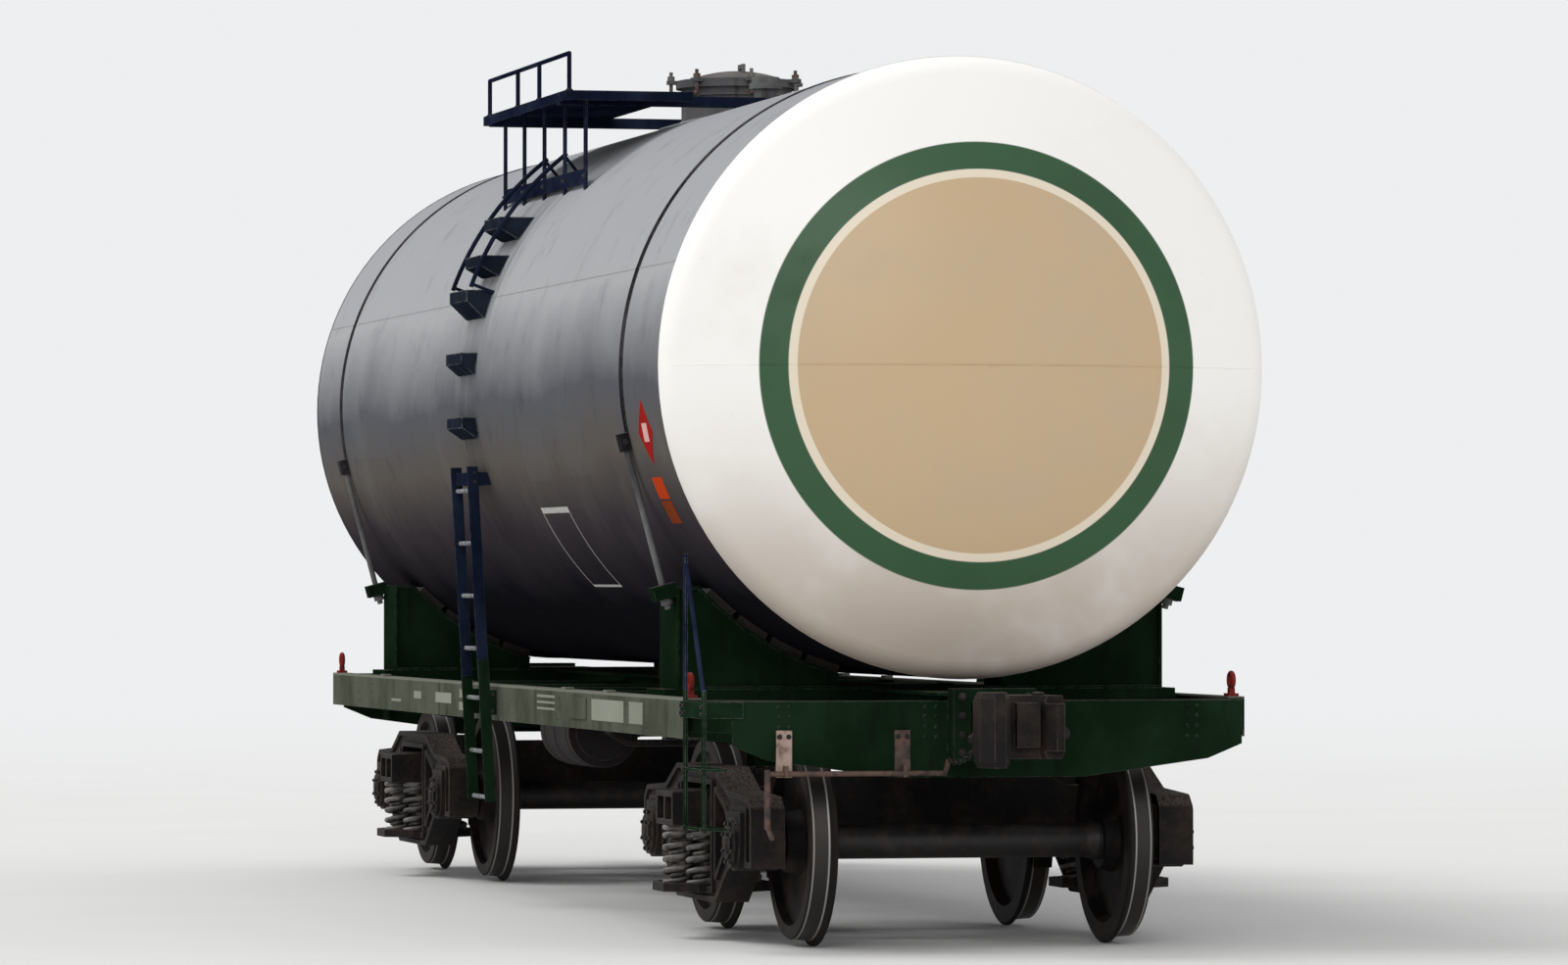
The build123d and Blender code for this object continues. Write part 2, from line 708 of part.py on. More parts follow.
def bogie_bolster():
    """The beam across the bogie, with its bowl and side bearers."""
    end = JOURNAL_Y + NEST_REACH - BOLSTER_END_MARGIN
    knee = JOURNAL_Y - NEST_REACH - BOLSTER_END_MARGIN
    slope = (SPRING_TOP - BOLSTER_BOTTOM) * 2
    half = [
        (0, BOLSTER_TOP),
        (knee - slope / 2, BOLSTER_TOP),
        (knee, BOLSTER_TOP - BOLSTER_END_DROP * 0.7),
        (end, BOLSTER_TOP - BOLSTER_END_DROP),
        (end, SPRING_TOP),
        (knee, SPRING_TOP),
        (knee - slope, BOLSTER_BOTTOM),
        (0, BOLSTER_BOTTOM),
    ]
    beam = extrude_x(raised(both_ways(half)), about(0, BOLSTER_HALF_WIDTH))
    top = RAIL + BOLSTER_TOP
    rim_radius = CENTRE_PLATE_RADIUS + RUNNING_GAP
    ring = post(0, 0, (top, top + BOWL_HEIGHT), rim_radius + BOWL_RIM)
    hollow = post(0, 0, (top, top + BOWL_HEIGHT + 1), rim_radius)
    pieces = [beam, ring - hollow]
    for side in (-1, 1):
        y = about(side * SIDE_BEARER_SPAN / 2, BEARER_HALF_WIDTH)
        z = (top - BEARER_FOOT, RAIL + BEARER_TOP)
        pieces.append(block(about(0, BEARER_HALF_LENGTH), y, z))
    wall, depth = BOLSTER_POCKET
    pocket_z = (RAIL + SPRING_TOP + wall, RAIL + BOLSTER_TOP - BOLSTER_END_DROP - wall)
    pockets = []
    for side in (-1, 1):
        y = span(side * (end - depth), side * (end + 1))
        for x in (-BOLSTER_HALF_WIDTH + wall, wall / 2):
            pockets.append(block((x, x + BOLSTER_HALF_WIDTH - wall * 1.5), y, pocket_z))
    return group(*pieces) - group(*pockets)


def friction_wedges():
    """The four wedges between the bolster's ends and the side frames."""
    inner = BOLSTER_HALF_WIDTH + RUNNING_GAP
    outer = WINDOW_HALF_WIDTH - RUNNING_GAP
    outline = [
        (inner, SPRING_TOP),
        (outer, SPRING_TOP),
        (outer, SPRING_TOP + WEDGE_HEIGHT),
        (outer - WEDGE_HEEL, SPRING_TOP + WEDGE_HEIGHT),
        (inner, SPRING_TOP + WEDGE_TOE),
    ]
    front = extrude_y(raised(outline), about(JOURNAL_Y, WEDGE_HALF_WIDTH))
    back = mirror(front, about=Plane.YZ)
    return [front, back, other_side(front), other_side(back)]


def brake_beam():
    """The beam, its two shoes and their hangers at the axle in front."""
    tread_y = WHEEL_BACK + (FLANGE_THICKNESS + WHEEL_WIDTH) / 2
    inner = TREAD_RADIUS + SHOE_GAP
    outer = inner + SHOE_THICKNESS
    beam_x = HALF_BASE - outer - BRAKE_BEAM_RADIUS
    beam_z = AXLE_Z - BRAKE_BEAM_DROP
    pieces = []
    for side in (-1, 1):
        y = about(side * tread_y, SHOE_HALF_WIDTH)
        disc = bar_y(HALF_BASE, AXLE_Z, y, outer)
        hollow = bar_y(HALF_BASE, AXLE_Z, wider(y), inner)
        window = block(
            (HALF_BASE - outer - 1, HALF_BASE - inner * 0.9),
            y,
            (AXLE_Z - SHOE_DROP, AXLE_Z + SHOE_RISE),
        )
        pieces.append((disc - hollow) & window)
        holder_z = (beam_z - 2 * BRAKE_BEAM_DROP, beam_z + 3 * BRAKE_BEAM_DROP)
        holder = block((beam_x - BRAKE_BEAM_DROP, beam_x + SHOE_THICKNESS), y, holder_z)
        pieces.append(holder - hollow)
        foot = (beam_x, side * tread_y, AXLE_Z)
        frame_face = JOURNAL_Y - FRAME_THICKNESS / 2
        head_x = beam_x - COLLAR_GAP
        head_z = RAIL + WINDOW_TOP + BRAKE_BEAM_DROP
        head = (head_x, side * (frame_face - HANGER_RADIUS), head_z)
        pieces.append(bar(foot, head, HANGER_RADIUS))
        pin = span(head[1], side * (frame_face + FRAME_RECESS - RUNNING_GAP))
        pieces.append(bar_y(head_x, head_z, pin, HANGER_PIN_RADIUS))
    pieces.append(bar_y(beam_x, beam_z, (-tread_y, tread_y), BRAKE_BEAM_RADIUS))
    truss_x = beam_x - TRUSS_DEPTH
    truss_z = beam_z - TRUSS_DROP
    for side in (-1, 1):
        end = (beam_x, side * tread_y, beam_z)
        pieces.append(bar((truss_x, 0, truss_z), end, TRUSS_RADIUS))
    strut_z = (truss_z - 2 * TRUSS_RADIUS, beam_z + 2 * TRUSS_RADIUS)
    strut_x = (truss_x - TRUSS_RADIUS, beam_x + TRUSS_RADIUS)
    pieces.append(block(strut_x, about(0, TRUSS_RADIUS), strut_z))
    return group(*pieces)


# Underframe

def pipe_hole(x):
    """The clearance for the brake pipe where a beam lies across it."""
    z = RAIL + PIPE_HEIGHT
    return bar((x[0], PIPE_Y, z), (x[1], PIPE_Y, z), PIPE_RADIUS + RUNNING_GAP)


def center_sill():
    """Two Z beams back to back, tied by a top plate that the outlet passes."""
    x = about(0, HALF_FRAME - END_PLATE)
    z0 = RAIL + SILL_BOTTOM
    z1 = RAIL + SILL_TOP
    inside = about(0, SILL_INNER)
    web = block(x, (SILL_INNER, WEB_OUTER), (z0, z1))
    foot = block(x, (WEB_OUTER - 1, WEB_OUTER + SILL_FLANGE), (z0, z0 + SILL_WEB))
    head = block(x, (WEB_OUTER - 1, WEB_OUTER + SILL_HEAD), (z1 - SILL_WEB, z1))
    beam = group(web, foot, head)
    cover = block(x, inside, (z1 - COVER_PLATE, z1))
    gap = about(0, OUTLET_RADIUS + OUTLET_CLEARANCE)
    cover = cover - block(gap, inside, wider((z1 - COVER_PLATE, z1)))
    pieces = [beam, other_side(beam), cover]
    for place in CROSS_BEAM_X:
        wall_z = (z0 + SILL_HEAD, z1 - COVER_PLATE / 2)
        pieces.append(block(about(place, STIFFENER / 2), inside, wall_z))
    return group(*pieces)


def body_bolster(sill):
    """The beam above a bogie, with its centre plate and side bearers."""
    x = about(BOGIE_X, BODY_BOLSTER_WIDTH / 2)
    inside = SIDE_SILL_INSIDE
    lip = inside - SIDE_SILL_FLANGE - FIT_UP_GAP
    low = SIDE_SILL_BOTTOM + SIDE_SILL_WEB + FIT_UP_GAP
    high = SIDE_SILL_TOP - SIDE_SILL_WEB - FIT_UP_GAP
    half = [
        (0, SILL_TOP),
        (lip, SILL_TOP),
        (lip, high),
        (inside, high),
        (inside, low),
        (lip, low),
        (BODY_BOLSTER_KNEE, BODY_BOLSTER_BOTTOM),
        (0, BODY_BOLSTER_BOTTOM),
    ]
    beam = extrude_x(raised(both_ways(half)), x)
    plate_z = (RAIL + BOLSTER_TOP + RUNNING_GAP, RAIL + BODY_BOLSTER_BOTTOM + 1)
    pieces = [beam, post(BOGIE_X, 0, plate_z, CENTRE_PLATE_RADIUS)]
    for side in (-1, 1):
        y = about(side * SIDE_BEARER_SPAN / 2, BODY_BEARER_HALF[1])
        z = (RAIL + BEARER_TOP + BEARER_GAP, RAIL + SIDE_SILL_BOTTOM)
        pieces.append(block(about(BOGIE_X, BODY_BEARER_HALF[0]), y, z))
    return group(*pieces) - sill - pipe_hole(wider(x))


def end_beam(sill):
    """The end plate with its flanges, the corner pieces and the striker."""
    face = HALF_FRAME
    back = face - END_BEAM_DEPTH
    half = [
        (0, END_BEAM_TOP),
        (END_BEAM_HALF, END_BEAM_TOP),
        (END_BEAM_HALF, END_BEAM_EDGE),
        END_BEAM_KNEE,
        (END_BEAM_FOOT_HALF, END_BEAM_FOOT),
        (0, END_BEAM_FOOT),
    ]
    plate = extrude_x(raised(both_ways(half)), (face - END_PLATE, face))
    z1 = RAIL + END_BEAM_TOP
    top = block((back, face), about(0, END_BEAM_HALF), (z1 - END_PLATE, z1))
    lip_z = (RAIL + END_BEAM_FOOT, RAIL + END_BEAM_FOOT + END_PLATE)
    lip = block((face - END_BEAM_LIP, face), about(0, END_BEAM_FOOT_HALF), lip_z)
    pieces = [plate, top, lip]
    lap_x, lap_y = CORNER_LAP
    for side in (-1, 1):
        corner = [
            (SIDE_SILL_END - lap_x, side * (SIDE_SILL_INSIDE - lap_y)),
            (SIDE_SILL_END - lap_x, side * SIDE_SILL_INSIDE),
            (SIDE_SILL_END, side * SIDE_SILL_INSIDE),
            (SIDE_SILL_END, side * SIDE_SILL_Y),
            (face, side * END_BEAM_HALF),
            (face, side * CORNER_INNER),
            (back, side * CORNER_INNER),
        ]
        pieces.append(extrude_z(corner, (z1 - END_PLATE, z1)))
        skirt = [
            (SIDE_SILL_END, side * SIDE_SILL_INSIDE),
            (SIDE_SILL_END, side * SIDE_SILL_Y),
            (face, side * END_BEAM_HALF),
            (face - END_PLATE, side * (END_BEAM_HALF - SIDE_SILL_WEB)),
        ]
        pieces.append(extrude_z(skirt, (z1 - CORNER_SKIRT, z1)))
        rib_z = (RAIL + END_BEAM_KNEE[1], z1)
        pieces.append(block((back, face), about(side * END_RIB_Y, END_RIB / 2), rib_z))
    opening = block(
        wider((back, face)),
        about(0, SHANK_OPENING_HALF),
        (RAIL + SILL_BOTTOM, RAIL + SILL_TOP + END_PLATE),
    )
    beam = group(*pieces) - opening
    striker_x = (face, face + STRIKER_DEPTH)
    striker_z = (RAIL + STRIKER_FOOT, RAIL + STRIKER_TOP)
    striker = block(striker_x, about(0, STRIKER_HALF), striker_z)
    shank_foot = RAIL + COUPLER_HEIGHT - SHANK_HEIGHT / 2
    mouth_z = (shank_foot - RUNNING_GAP, RAIL + STRIKER_MOUTH_TOP)
    mouth = block(wider(striker_x), about(0, STRIKER_MOUTH_HALF), mouth_z)
    return group(beam, striker - mouth) - sill - pipe_hole(wider((back, face)))


def side_sill():
    """The channel along the side, its web outwards."""
    x = about(0, SIDE_SILL_END)
    z0 = RAIL + SIDE_SILL_BOTTOM
    z1 = RAIL + SIDE_SILL_TOP
    web = block(x, (SIDE_SILL_INSIDE, SIDE_SILL_Y), (z0, z1))
    reach = (SIDE_SILL_INSIDE - SIDE_SILL_FLANGE, SIDE_SILL_INSIDE + 1)
    foot = block(x, reach, (z0, z0 + SIDE_SILL_WEB))
    head = block(x, reach, (z1 - SIDE_SILL_WEB, z1))
    return group(web, foot, head)


def cross_beam(x):
    """One outrigger from the centre sill to the side sill."""
    inside = SIDE_SILL_INSIDE
    wide = about(x, CROSS_BEAM_WIDTH / 2)
    low = SIDE_SILL_BOTTOM + SIDE_SILL_WEB + FIT_UP_GAP
    high = SIDE_SILL_TOP - SIDE_SILL_WEB - FIT_UP_GAP
    root = SILL_BOTTOM + SILL_WEB + FIT_UP_GAP
    outline = [
        (WEB_OUTER, root),
        (WEB_OUTER + CROSS_BEAM_KNEE, root),
        (inside - CROSS_BEAM_KNEE, low),
        (inside, low),
        (inside, high),
        (WEB_OUTER, high),
    ]
    return extrude_x(raised(outline), wide) - pipe_hole(wider(wide))


# Tank and what holds it

def tank_shell():
    """The tank with its dished ends, solid, turned about its own axis."""
    end = TANK_END
    tip = end + HEAD_DEPTH
    flat = TANK_RADIUS - HEAD_KNUCKLE
    rise = HEAD_KNUCKLE
    crown = (flat ** 2 - rise ** 2 + HEAD_DEPTH ** 2) / (2 * (HEAD_DEPTH - rise))
    tilt = asin(flat / (crown - rise))
    joint = (tip - crown + crown * cos(tilt), crown * sin(tilt))
    turn = radians(90) - tilt
    middle = radians(90) - turn / 2
    bend = (end + rise * cos(middle), flat + rise * sin(middle))
    half_tilt = tilt / 2
    crest = (tip - crown + crown * cos(half_tilt), crown * sin(half_tilt))

    def at(point, side=1):
        return (side * point[0], 0, TANK_Z + point[1])

    edges = [
        Edge.make_line(at((tip, 0), -1), at((tip, 0))),
        Edge.make_three_point_arc(at((tip, 0)), at(crest), at(joint)),
        Edge.make_three_point_arc(at(joint), at(bend), at((end, TANK_RADIUS))),
        Edge.make_line(at((end, TANK_RADIUS)), at((end, TANK_RADIUS), -1)),
        Edge.make_three_point_arc(at((end, TANK_RADIUS), -1), at(bend, -1), at(joint, -1)),
        Edge.make_three_point_arc(at(joint, -1), at(crest, -1), at((tip, 0), -1)),
    ]
    section = Face(Wire(edges))
    return revolve(section, Axis((0, 0, TANK_Z), (1, 0, 0)))


def rod_ends(side):
    """Where a tension rod leaves its strap and where it meets its lug."""
    angle = radians(STRAP_END_ANGLE)
    radius = TANK_RADIUS + ROD_STANDOFF
    head = (STRAP_X, side * radius * cos(angle), TANK_Z - radius * sin(angle))
    foot_z = SADDLE_TOP - ROD_DROP
    foot_y = head[1] - side * (head[2] - foot_z) * tan(angle)
    return head, (STRAP_X, foot_y, foot_z)


def along_rod(side, *distances):
    """Points on a rod's line, measured up from its foot."""
    head, foot = rod_ends(side)
    origin = Vector(*foot)
    line = (Vector(*head) - origin).normalized()
    return [tuple(origin + line * distance) for distance in distances]


def saddle():
    """The cradle on a body bolster, with the lugs for the strap's rods."""
    base = SADDLE_BASE
    top = SADDLE_TOP
    edge = SADDLE_HALF
    x = about(BOGIE_X, SADDLE_LENGTH / 2)
    wide_x = wider(x, SADDLE_LIP)
    pieces = [block(wide_x, about(0, edge), (base, base + SADDLE_PLATE))]
    lugs = []
    rods = []
    for side in (-1, 1):
        wing = span(side * SADDLE_INNER, side * edge)
        pieces.append(block(x, wing, (base, top)))
        shelf = span(side * SADDLE_TOP_PLATE_Y, side * edge)
        pieces.append(block(wide_x, shelf, (top - SADDLE_PLATE, top)))
        wall = span(side * (edge - SADDLE_PLATE), side * edge)
        pieces.append(block(wide_x, wall, (base, top)))
        foot, head = along_rod(side, 0, LUG_HEIGHT)
        place = Plane(origin=foot, x_dir=(1, 0, 0), z_dir=Vector(*head) - Vector(*foot))
        root = abs(foot[1]) - edge + LUG_ROOT
        width = root + LUG_OUTER
        middle = side * (LUG_OUTER - root) / 2
        lugs.append(place * Pos(0, middle, LUG_HEIGHT / 2) * Box(LUG_WIDTH, width, LUG_HEIGHT))
        low, high = along_rod(side, -LUG_HEIGHT, 2 * LUG_HEIGHT)
        rods.append(bar(low, high, ROD_RADIUS + RUNNING_GAP))
    seat = tank_tube(SEAT_RADIUS + SADDLE_PLATE, wide_x)
    flange = seat & block(wide_x, about(0, edge), (base, top))
    flange = flange - block(wide_x, about(0, SADDLE_INNER), (base, top))
    body = group(*pieces, flange) - tank_tube(SEAT_RADIUS, wider(wide_x))
    return group(body, *lugs) - rods[0] - rods[1]


def saddle_blocks():
    """The timber blocks between the saddle and the shell."""
    x = about(BOGIE_X, SADDLE_LENGTH / 2 - SADDLE_PLATE)
    outer = tank_tube(SEAT_RADIUS - RUNNING_GAP, x)
    ring = outer - tank_tube(TANK_RADIUS + RUNNING_GAP, wider(x))
    reach = (TANK_RADIUS + SEAT_RADIUS) / 2
    blocks = []
    for side in (-1, 1):
        for angle in BLOCK_ANGLES:
            turn = radians(side * angle)
            place = Pos(BOGIE_X, reach * sin(turn), TANK_Z - reach * cos(turn))
            window = Box(SADDLE_LENGTH, BLOCK_WIDTH, 3 * BLOCK_THICKNESS)
            blocks.append(ring & (place * Rot(side * angle, 0, 0) * window))
    return blocks


def tank_strap():
    """The band over the tank with a shoe at each end for its rod."""
    x = about(STRAP_X, STRAP_WIDTH / 2)
    inner = TANK_RADIUS + RUNNING_GAP
    reach = about(0, inner + STRAP_THICKNESS + 1)
    drop = TANK_RADIUS * sin(radians(STRAP_END_ANGLE))
    band = tank_tube(inner + STRAP_THICKNESS, x)
    band = band - block(wider(x), reach, wider((TANK_FOOT, TANK_Z - drop), STRAP_THICKNESS + 1))
    pieces = [band]
    length, depth = STRAP_SHOE
    for side in (-1, 1):
        head = rod_ends(side)[0]
        place = Pos(*head) * Rot(-side * STRAP_END_ANGLE, 0, 0)
        pieces.append(place * Pos(0, 0, length / 2) * Box(STRAP_WIDTH, depth, length))
    return clear_of_tank(group(*pieces), x)


def strap_rod(side):
    """One tension rod with its nut under the saddle's lug."""
    head, _ = rod_ends(side)
    low, nut_low, nut_high = along_rod(side, -NUT_HEIGHT - THREAD_END, -NUT_HEIGHT, 0)
    return group(bar(low, head, ROD_RADIUS), bar(nut_low, nut_high, NUT_RADIUS))


def anchor_feet():
    """The feet that tie the tank's middle to the centre sill."""
    near, far = ANCHOR_X
    feet = []
    for x in ((near, far), (-far, -near)):
        y = about(0, WEB_OUTER + SILL_HEAD)
        body = block(x, y, (RAIL + SILL_TOP, TANK_FOOT + ANCHOR_RISE))
        feet.append(clear_of_tank(body, x))
    return feet


# Hatch

def manway_neck():
    """The neck on the crest with its flange, hinge ears and hinge pin."""
    low = CREST - NECK_ROOT
    outer = post(0, 0, (low, NECK_TOP), NECK_INNER_RADIUS + NECK_WALL)
    flange = post(0, 0, (NECK_TOP - NECK_FLANGE, NECK_TOP), NECK_FLANGE_RADIUS)
    hollow = post(0, 0, wider((low, NECK_TOP)), NECK_INNER_RADIUS)
    ear_half = LID_KNUCKLE_RADIUS + HINGE_EAR_MARGIN
    ear_low = NECK_TOP - NECK_FLANGE - ear_half
    ear_root = LID_HINGE_X + 3.6 * ear_half
    ear = [
        (ear_root, ear_low),
        (ear_root, NECK_TOP - NECK_FLANGE / 4),
        (LID_HINGE_X + 1.5 * ear_half, NECK_TOP - NECK_FLANGE / 4),
        (LID_HINGE_X + ear_half, LID_HINGE_Z + ear_half),
        (LID_HINGE_X - ear_half, LID_HINGE_Z + ear_half),
        (LID_HINGE_X - ear_half, NECK_TOP - LID_KNUCKLE_RADIUS),
        (LID_HINGE_X + LID_KNUCKLE_RADIUS, ear_low),
    ]
    pieces = [group(outer, flange) - hollow]
    for side in (-1, 1):
        y = span(side * HINGE_EAR[0], side * HINGE_EAR[1])
        pieces.append(extrude_y(ear, y) - hollow)
    pin_y = about(0, HINGE_EAR[1] + HINGE_PIN_END)
    pieces.append(bar_y(LID_HINGE_X, LID_HINGE_Z, pin_y, HINGE_PIN_RADIUS))
    return clear_of_tank(group(*pieces), about(0, 2 * NECK_FLANGE_RADIUS))


def hatch_lid():
    """The domed lid with its arm, knuckle and the ears for its bolts."""
    low = NECK_TOP + RUNNING_GAP
    high = low + LID_THICKNESS
    base = LID_RADIUS - LID_RIM
    ball = (base ** 2 + LID_DOME_HEIGHT ** 2) / (2 * LID_DOME_HEIGHT)
    dome = Pos(0, 0, high + LID_DOME_HEIGHT - ball) * Sphere(ball)
    cap_z = (high - 1, high + LID_DOME_HEIGHT + 1)
    dome = dome & block(about(0, base), about(0, base), cap_z)
    knuckle_y = about(0, LID_KNUCKLE_HALF)
    knuckle = bar_y(LID_HINGE_X, LID_HINGE_Z, knuckle_y, LID_KNUCKLE_RADIUS)
    arm_z = (low, high + HINGE_PIN_RADIUS)
    arm = block((LID_HINGE_X, LID_ARM_END), knuckle_y, arm_z)
    pieces = [post(0, 0, (low, high), LID_RADIUS), dome, knuckle, arm]
    hole_radius = HINGE_PIN_RADIUS + HINGE_PIN_GAP
    holes = [bar_y(LID_HINGE_X, LID_HINGE_Z, wider(knuckle_y), hole_radius)]
    ear_end, ear_half = LID_EAR
    for angle in LID_BOLT_ANGLES:
        turn = Rot(0, 0, angle)
        ear_x = (LID_RADIUS - LID_THICKNESS, LID_BOLT_CIRCLE + ear_end)
        pieces.append(turn * block(ear_x, about(0, ear_half), (low, high)))
        hole = post(LID_BOLT_CIRCLE, 0, wider((low, high)), LID_BOLT_RADIUS + PRESSED_GAP)
        holes.append(turn * hole)
    lift_z = (high, high + LIFT_HEIGHT)
    grip_z = (high, high + LIFT_HEIGHT - LIFT_BAR)
    lift = block(LIFT_X, about(0, LIFT_HALF_WIDTH), lift_z)
    grip_x = wider(LIFT_X, -LIFT_BAR)
    pieces.append(lift - block(grip_x, about(0, LIFT_HALF_WIDTH + 1), grip_z))
    return group(*pieces) - group(*holes)


def lid_bolts():
    """The eye bolts in the lid's ears, each with its nut."""
    high = NECK_TOP + RUNNING_GAP + LID_THICKNESS
    nut_height, nut_radius = LID_NUT
    top = high + 2 * nut_height
    low = top - LID_BOLT_LENGTH
    eye_width, eye_radius = LID_EYE
    x = LID_BOLT_CIRCLE
    bolts = []
    for angle in LID_BOLT_ANGLES:
        shank = post(x, 0, (low, top), LID_BOLT_RADIUS)
        nut = post(x, 0, (high, high + nut_height), nut_radius)
        eye = bar_y(x, low, about(0, eye_width / 2), eye_radius)
        bolts.append(Rot(0, 0, angle) * group(shank, nut, eye))
    return bolts


def relief_valve():
    """The safety and inlet valve beside the hatch."""
    pieces = [post(VALVE_X, 0, (CREST + a, CREST + b), r) for r, a, b in VALVE_STEPS]
    return clear_of_tank(group(*pieces), about(VALVE_X, 2 * VALVE_STEPS[0][0]))


# Platform

def deck():
    """One half of the platform, on the side of the positive Y."""
    x = about(0, DECK_HALF_LENGTH)
    y = (DECK_INNER, DECK_OUTER)
    top = block(x, y, (DECK_Z, DECK_Z + DECK_THICKNESS))
    z = (DECK_Z - DECK_RIM, DECK_Z + 1)
    inside_y = (DECK_INNER - 1, DECK_OUTER - DECK_RIM_PLATE)
    inside = block(wider(x, -DECK_RIM_PLATE), inside_y, wider(z))
    rim = block(x, y, z) - inside
    slots = []
    for beam_x in (-DECK_BEAM_X, DECK_BEAM_X):
        reach = about(beam_x, DECK_BEAM_HALF + DECK_BEAM_GAP)
        slots.append(block(reach, (DECK_INNER, DECK_OUTER + 1), (z[0] - 1, DECK_Z)))
    return group(top, rim) - group(*slots)


def deck_beams():
    """The two beams over the crest that carry both halves."""
    z = (CREST + RUNNING_GAP, DECK_Z)
    y = about(0, DECK_OUTER)
    return [block(about(x, DECK_BEAM_HALF), y, z) for x in (-DECK_BEAM_X, DECK_BEAM_X)]


def deck_posts():
    """The comb of posts from the shell to the outer edge of a deck."""
    angle = radians(DECK_POST_ANGLE)
    y = about(TANK_RADIUS * cos(angle), DECK_POST_PLATE / 2)
    base = TANK_Z + TANK_RADIUS * sin(angle)
    pieces = []
    for post_x in DECK_POST_X:
        reach = (base - DECK_TIE_Z[0], DECK_Z)
        pieces.append(block(about(post_x, DECK_POST_HALF), y, reach))
    tie_x = (DECK_POST_X[0], DECK_POST_X[-1])
    pieces.append(block(tie_x, y, (base + DECK_TIE_Z[0], base + DECK_TIE_Z[1])))
    return clear_of_tank(group(*pieces), wider(tie_x, 2 * DECK_POST_HALF))


def deck_rail():
    """The low rail along the outer edge of a deck."""
    inset_x, inset_y = RAIL_INSET
    y = DECK_OUTER - inset_y
    foot = DECK_Z + DECK_THICKNESS
    top = foot + RAIL_RISE
    end = DECK_HALF_LENGTH - inset_x
    pieces = [bar((-end, y, top), (end, y, top), HANDRAIL_RADIUS)]
    for x in (-end, -RAIL_POST_X, RAIL_POST_X, end):
        pieces.append(post(x, y, (foot, top), HANDRAIL_RADIUS))
        pieces.append(Pos(x, y, top) * Sphere(HANDRAIL_RADIUS))
    return group(*pieces)


# Steps and ladders

def tank_step(low, high, depth, half_width):
    """One box step on the shell, wider at its top."""
    z0 = TANK_Z + TANK_RADIUS * sin(radians(low))
    z1 = TANK_Z + TANK_RADIUS * sin(radians(high))
    face = max(shell_y(z1), shell_y(z0)) + depth
    outline = [
        (shell_y(z1) - STEP_LIP, z1),
        (face, z1),
        (face, z1 - STEP_LIP),
        (shell_y(z0) + STEP_TOE, z0),
        (shell_y(z0) - STEP_LIP, z0),
    ]
    x = about(0, half_width)
    return clear_of_tank(extrude_x(outline, x), x)


def tank_handrail(x):
    """A rail over the shell from the box steps to the platform."""
    first, last = HANDRAIL_ANGLES
    reach = TANK_RADIUS + HANDRAIL_STANDOFF
    start = Plane(origin=(x, reach, TANK_Z), z_dir=(0, 0, 1))
    ring = start * Circle(HANDRAIL_RADIUS)
    rail = revolve(ring, Axis((0, 0, TANK_Z), (1, 0, 0)), last - first)
    pieces = [Pos(0, 0, TANK_Z) * Rot(first, 0, 0) * Pos(0, 0, -TANK_Z) * rail]
    foot = TANK_RADIUS - STANDOFF_RADIUS
    for angle in (first + STANDOFF_ANGLE, last - STANDOFF_ANGLE):
        turn = radians(angle)
        low = (x, foot * cos(turn), TANK_Z + foot * sin(turn))
        high = (x, reach * cos(turn), TANK_Z + reach * sin(turn))
        pieces.append(bar(low, high, STANDOFF_RADIUS))
    return clear_of_tank(group(*pieces), about(x, 2 * HANDRAIL_RADIUS))


def ladder_y(height):
    """How far out the ladder is at a height above the rail."""
    share = (height - LADDER_BOTTOM) / (LADDER_TOP - LADDER_BOTTOM)
    foot = SIDE_SILL_Y + LADDER_STANDOFF[0]
    head = TANK_RADIUS + LADDER_STANDOFF[1]
    return foot + share * (head - foot)


def stringers(low, high, half_width):
    """Two flat bars that lean with the ladder."""
    depth, thick = LADDER_BAR
    outline = [
        (ladder_y(low) - depth / 2, low),
        (ladder_y(low) + depth / 2, low),
        (ladder_y(high) + depth / 2, high),
        (ladder_y(high) - depth / 2, high),
    ]
    pieces = []
    for side in (-1, 1):
        x = span(side * half_width, side * (half_width + thick))
        pieces.append(extrude_x(raised(outline), x))
    return pieces


def rungs(heights, half_width):
    x = about(0, half_width + RUNG_LAP)
    pieces = []
    for height in heights:
        y = ladder_y(height)
        z = RAIL + height
        pieces.append(bar((x[0], y, z), (x[1], y, z), RUNG_RADIUS))
    return pieces


def upper_ladder():
    """The ladder that hangs from the tank, with its bracket box."""
    half_width = LADDER_HALF_WIDTH
    first = UPPER_LADDER_FOOT + UPPER_RUNG_MARGIN[0]
    last = LADDER_TOP - UPPER_RUNG_MARGIN[1]
    pitch = (last - first) / (UPPER_RUNG_COUNT - 1)
    heights = [first + index * pitch for index in range(UPPER_RUNG_COUNT)]
    pieces = stringers(UPPER_LADDER_FOOT, LADDER_TOP, half_width)
    pieces += rungs(heights, half_width)
    low = RAIL + LADDER_TOP - BRACKET_DROP
    x = about(0, half_width + 1)
    y = (shell_y(low) - BRACKET_ROOT, ladder_y(LADDER_TOP - BRACKET_HEIGHT))
    bracket = block(x, y, (low, low + BRACKET_HEIGHT))
    return group(*pieces, clear_of_tank(bracket, x))


def lower_ladder():
    """The ladder that hangs from the side sill, a little wider."""
    thick = LADDER_BAR[1]
    half_width = LADDER_HALF_WIDTH + thick + RUNNING_GAP
    pieces = stringers(LADDER_BOTTOM, LADDER_SPLIT, half_width)
    pieces += rungs(LOWER_RUNGS, half_width)
    y = (SIDE_SILL_Y, ladder_y(SIDE_SILL_BOTTOM))
    z = wider((RAIL + SIDE_SILL_BOTTOM, RAIL + SIDE_SILL_TOP), -LADDER_BAR[0] / 2)
    for side in (-1, 1):
        x = span(side * half_width, side * (half_width + thick))
        pieces.append(block(x, y, z))
    return group(*pieces)


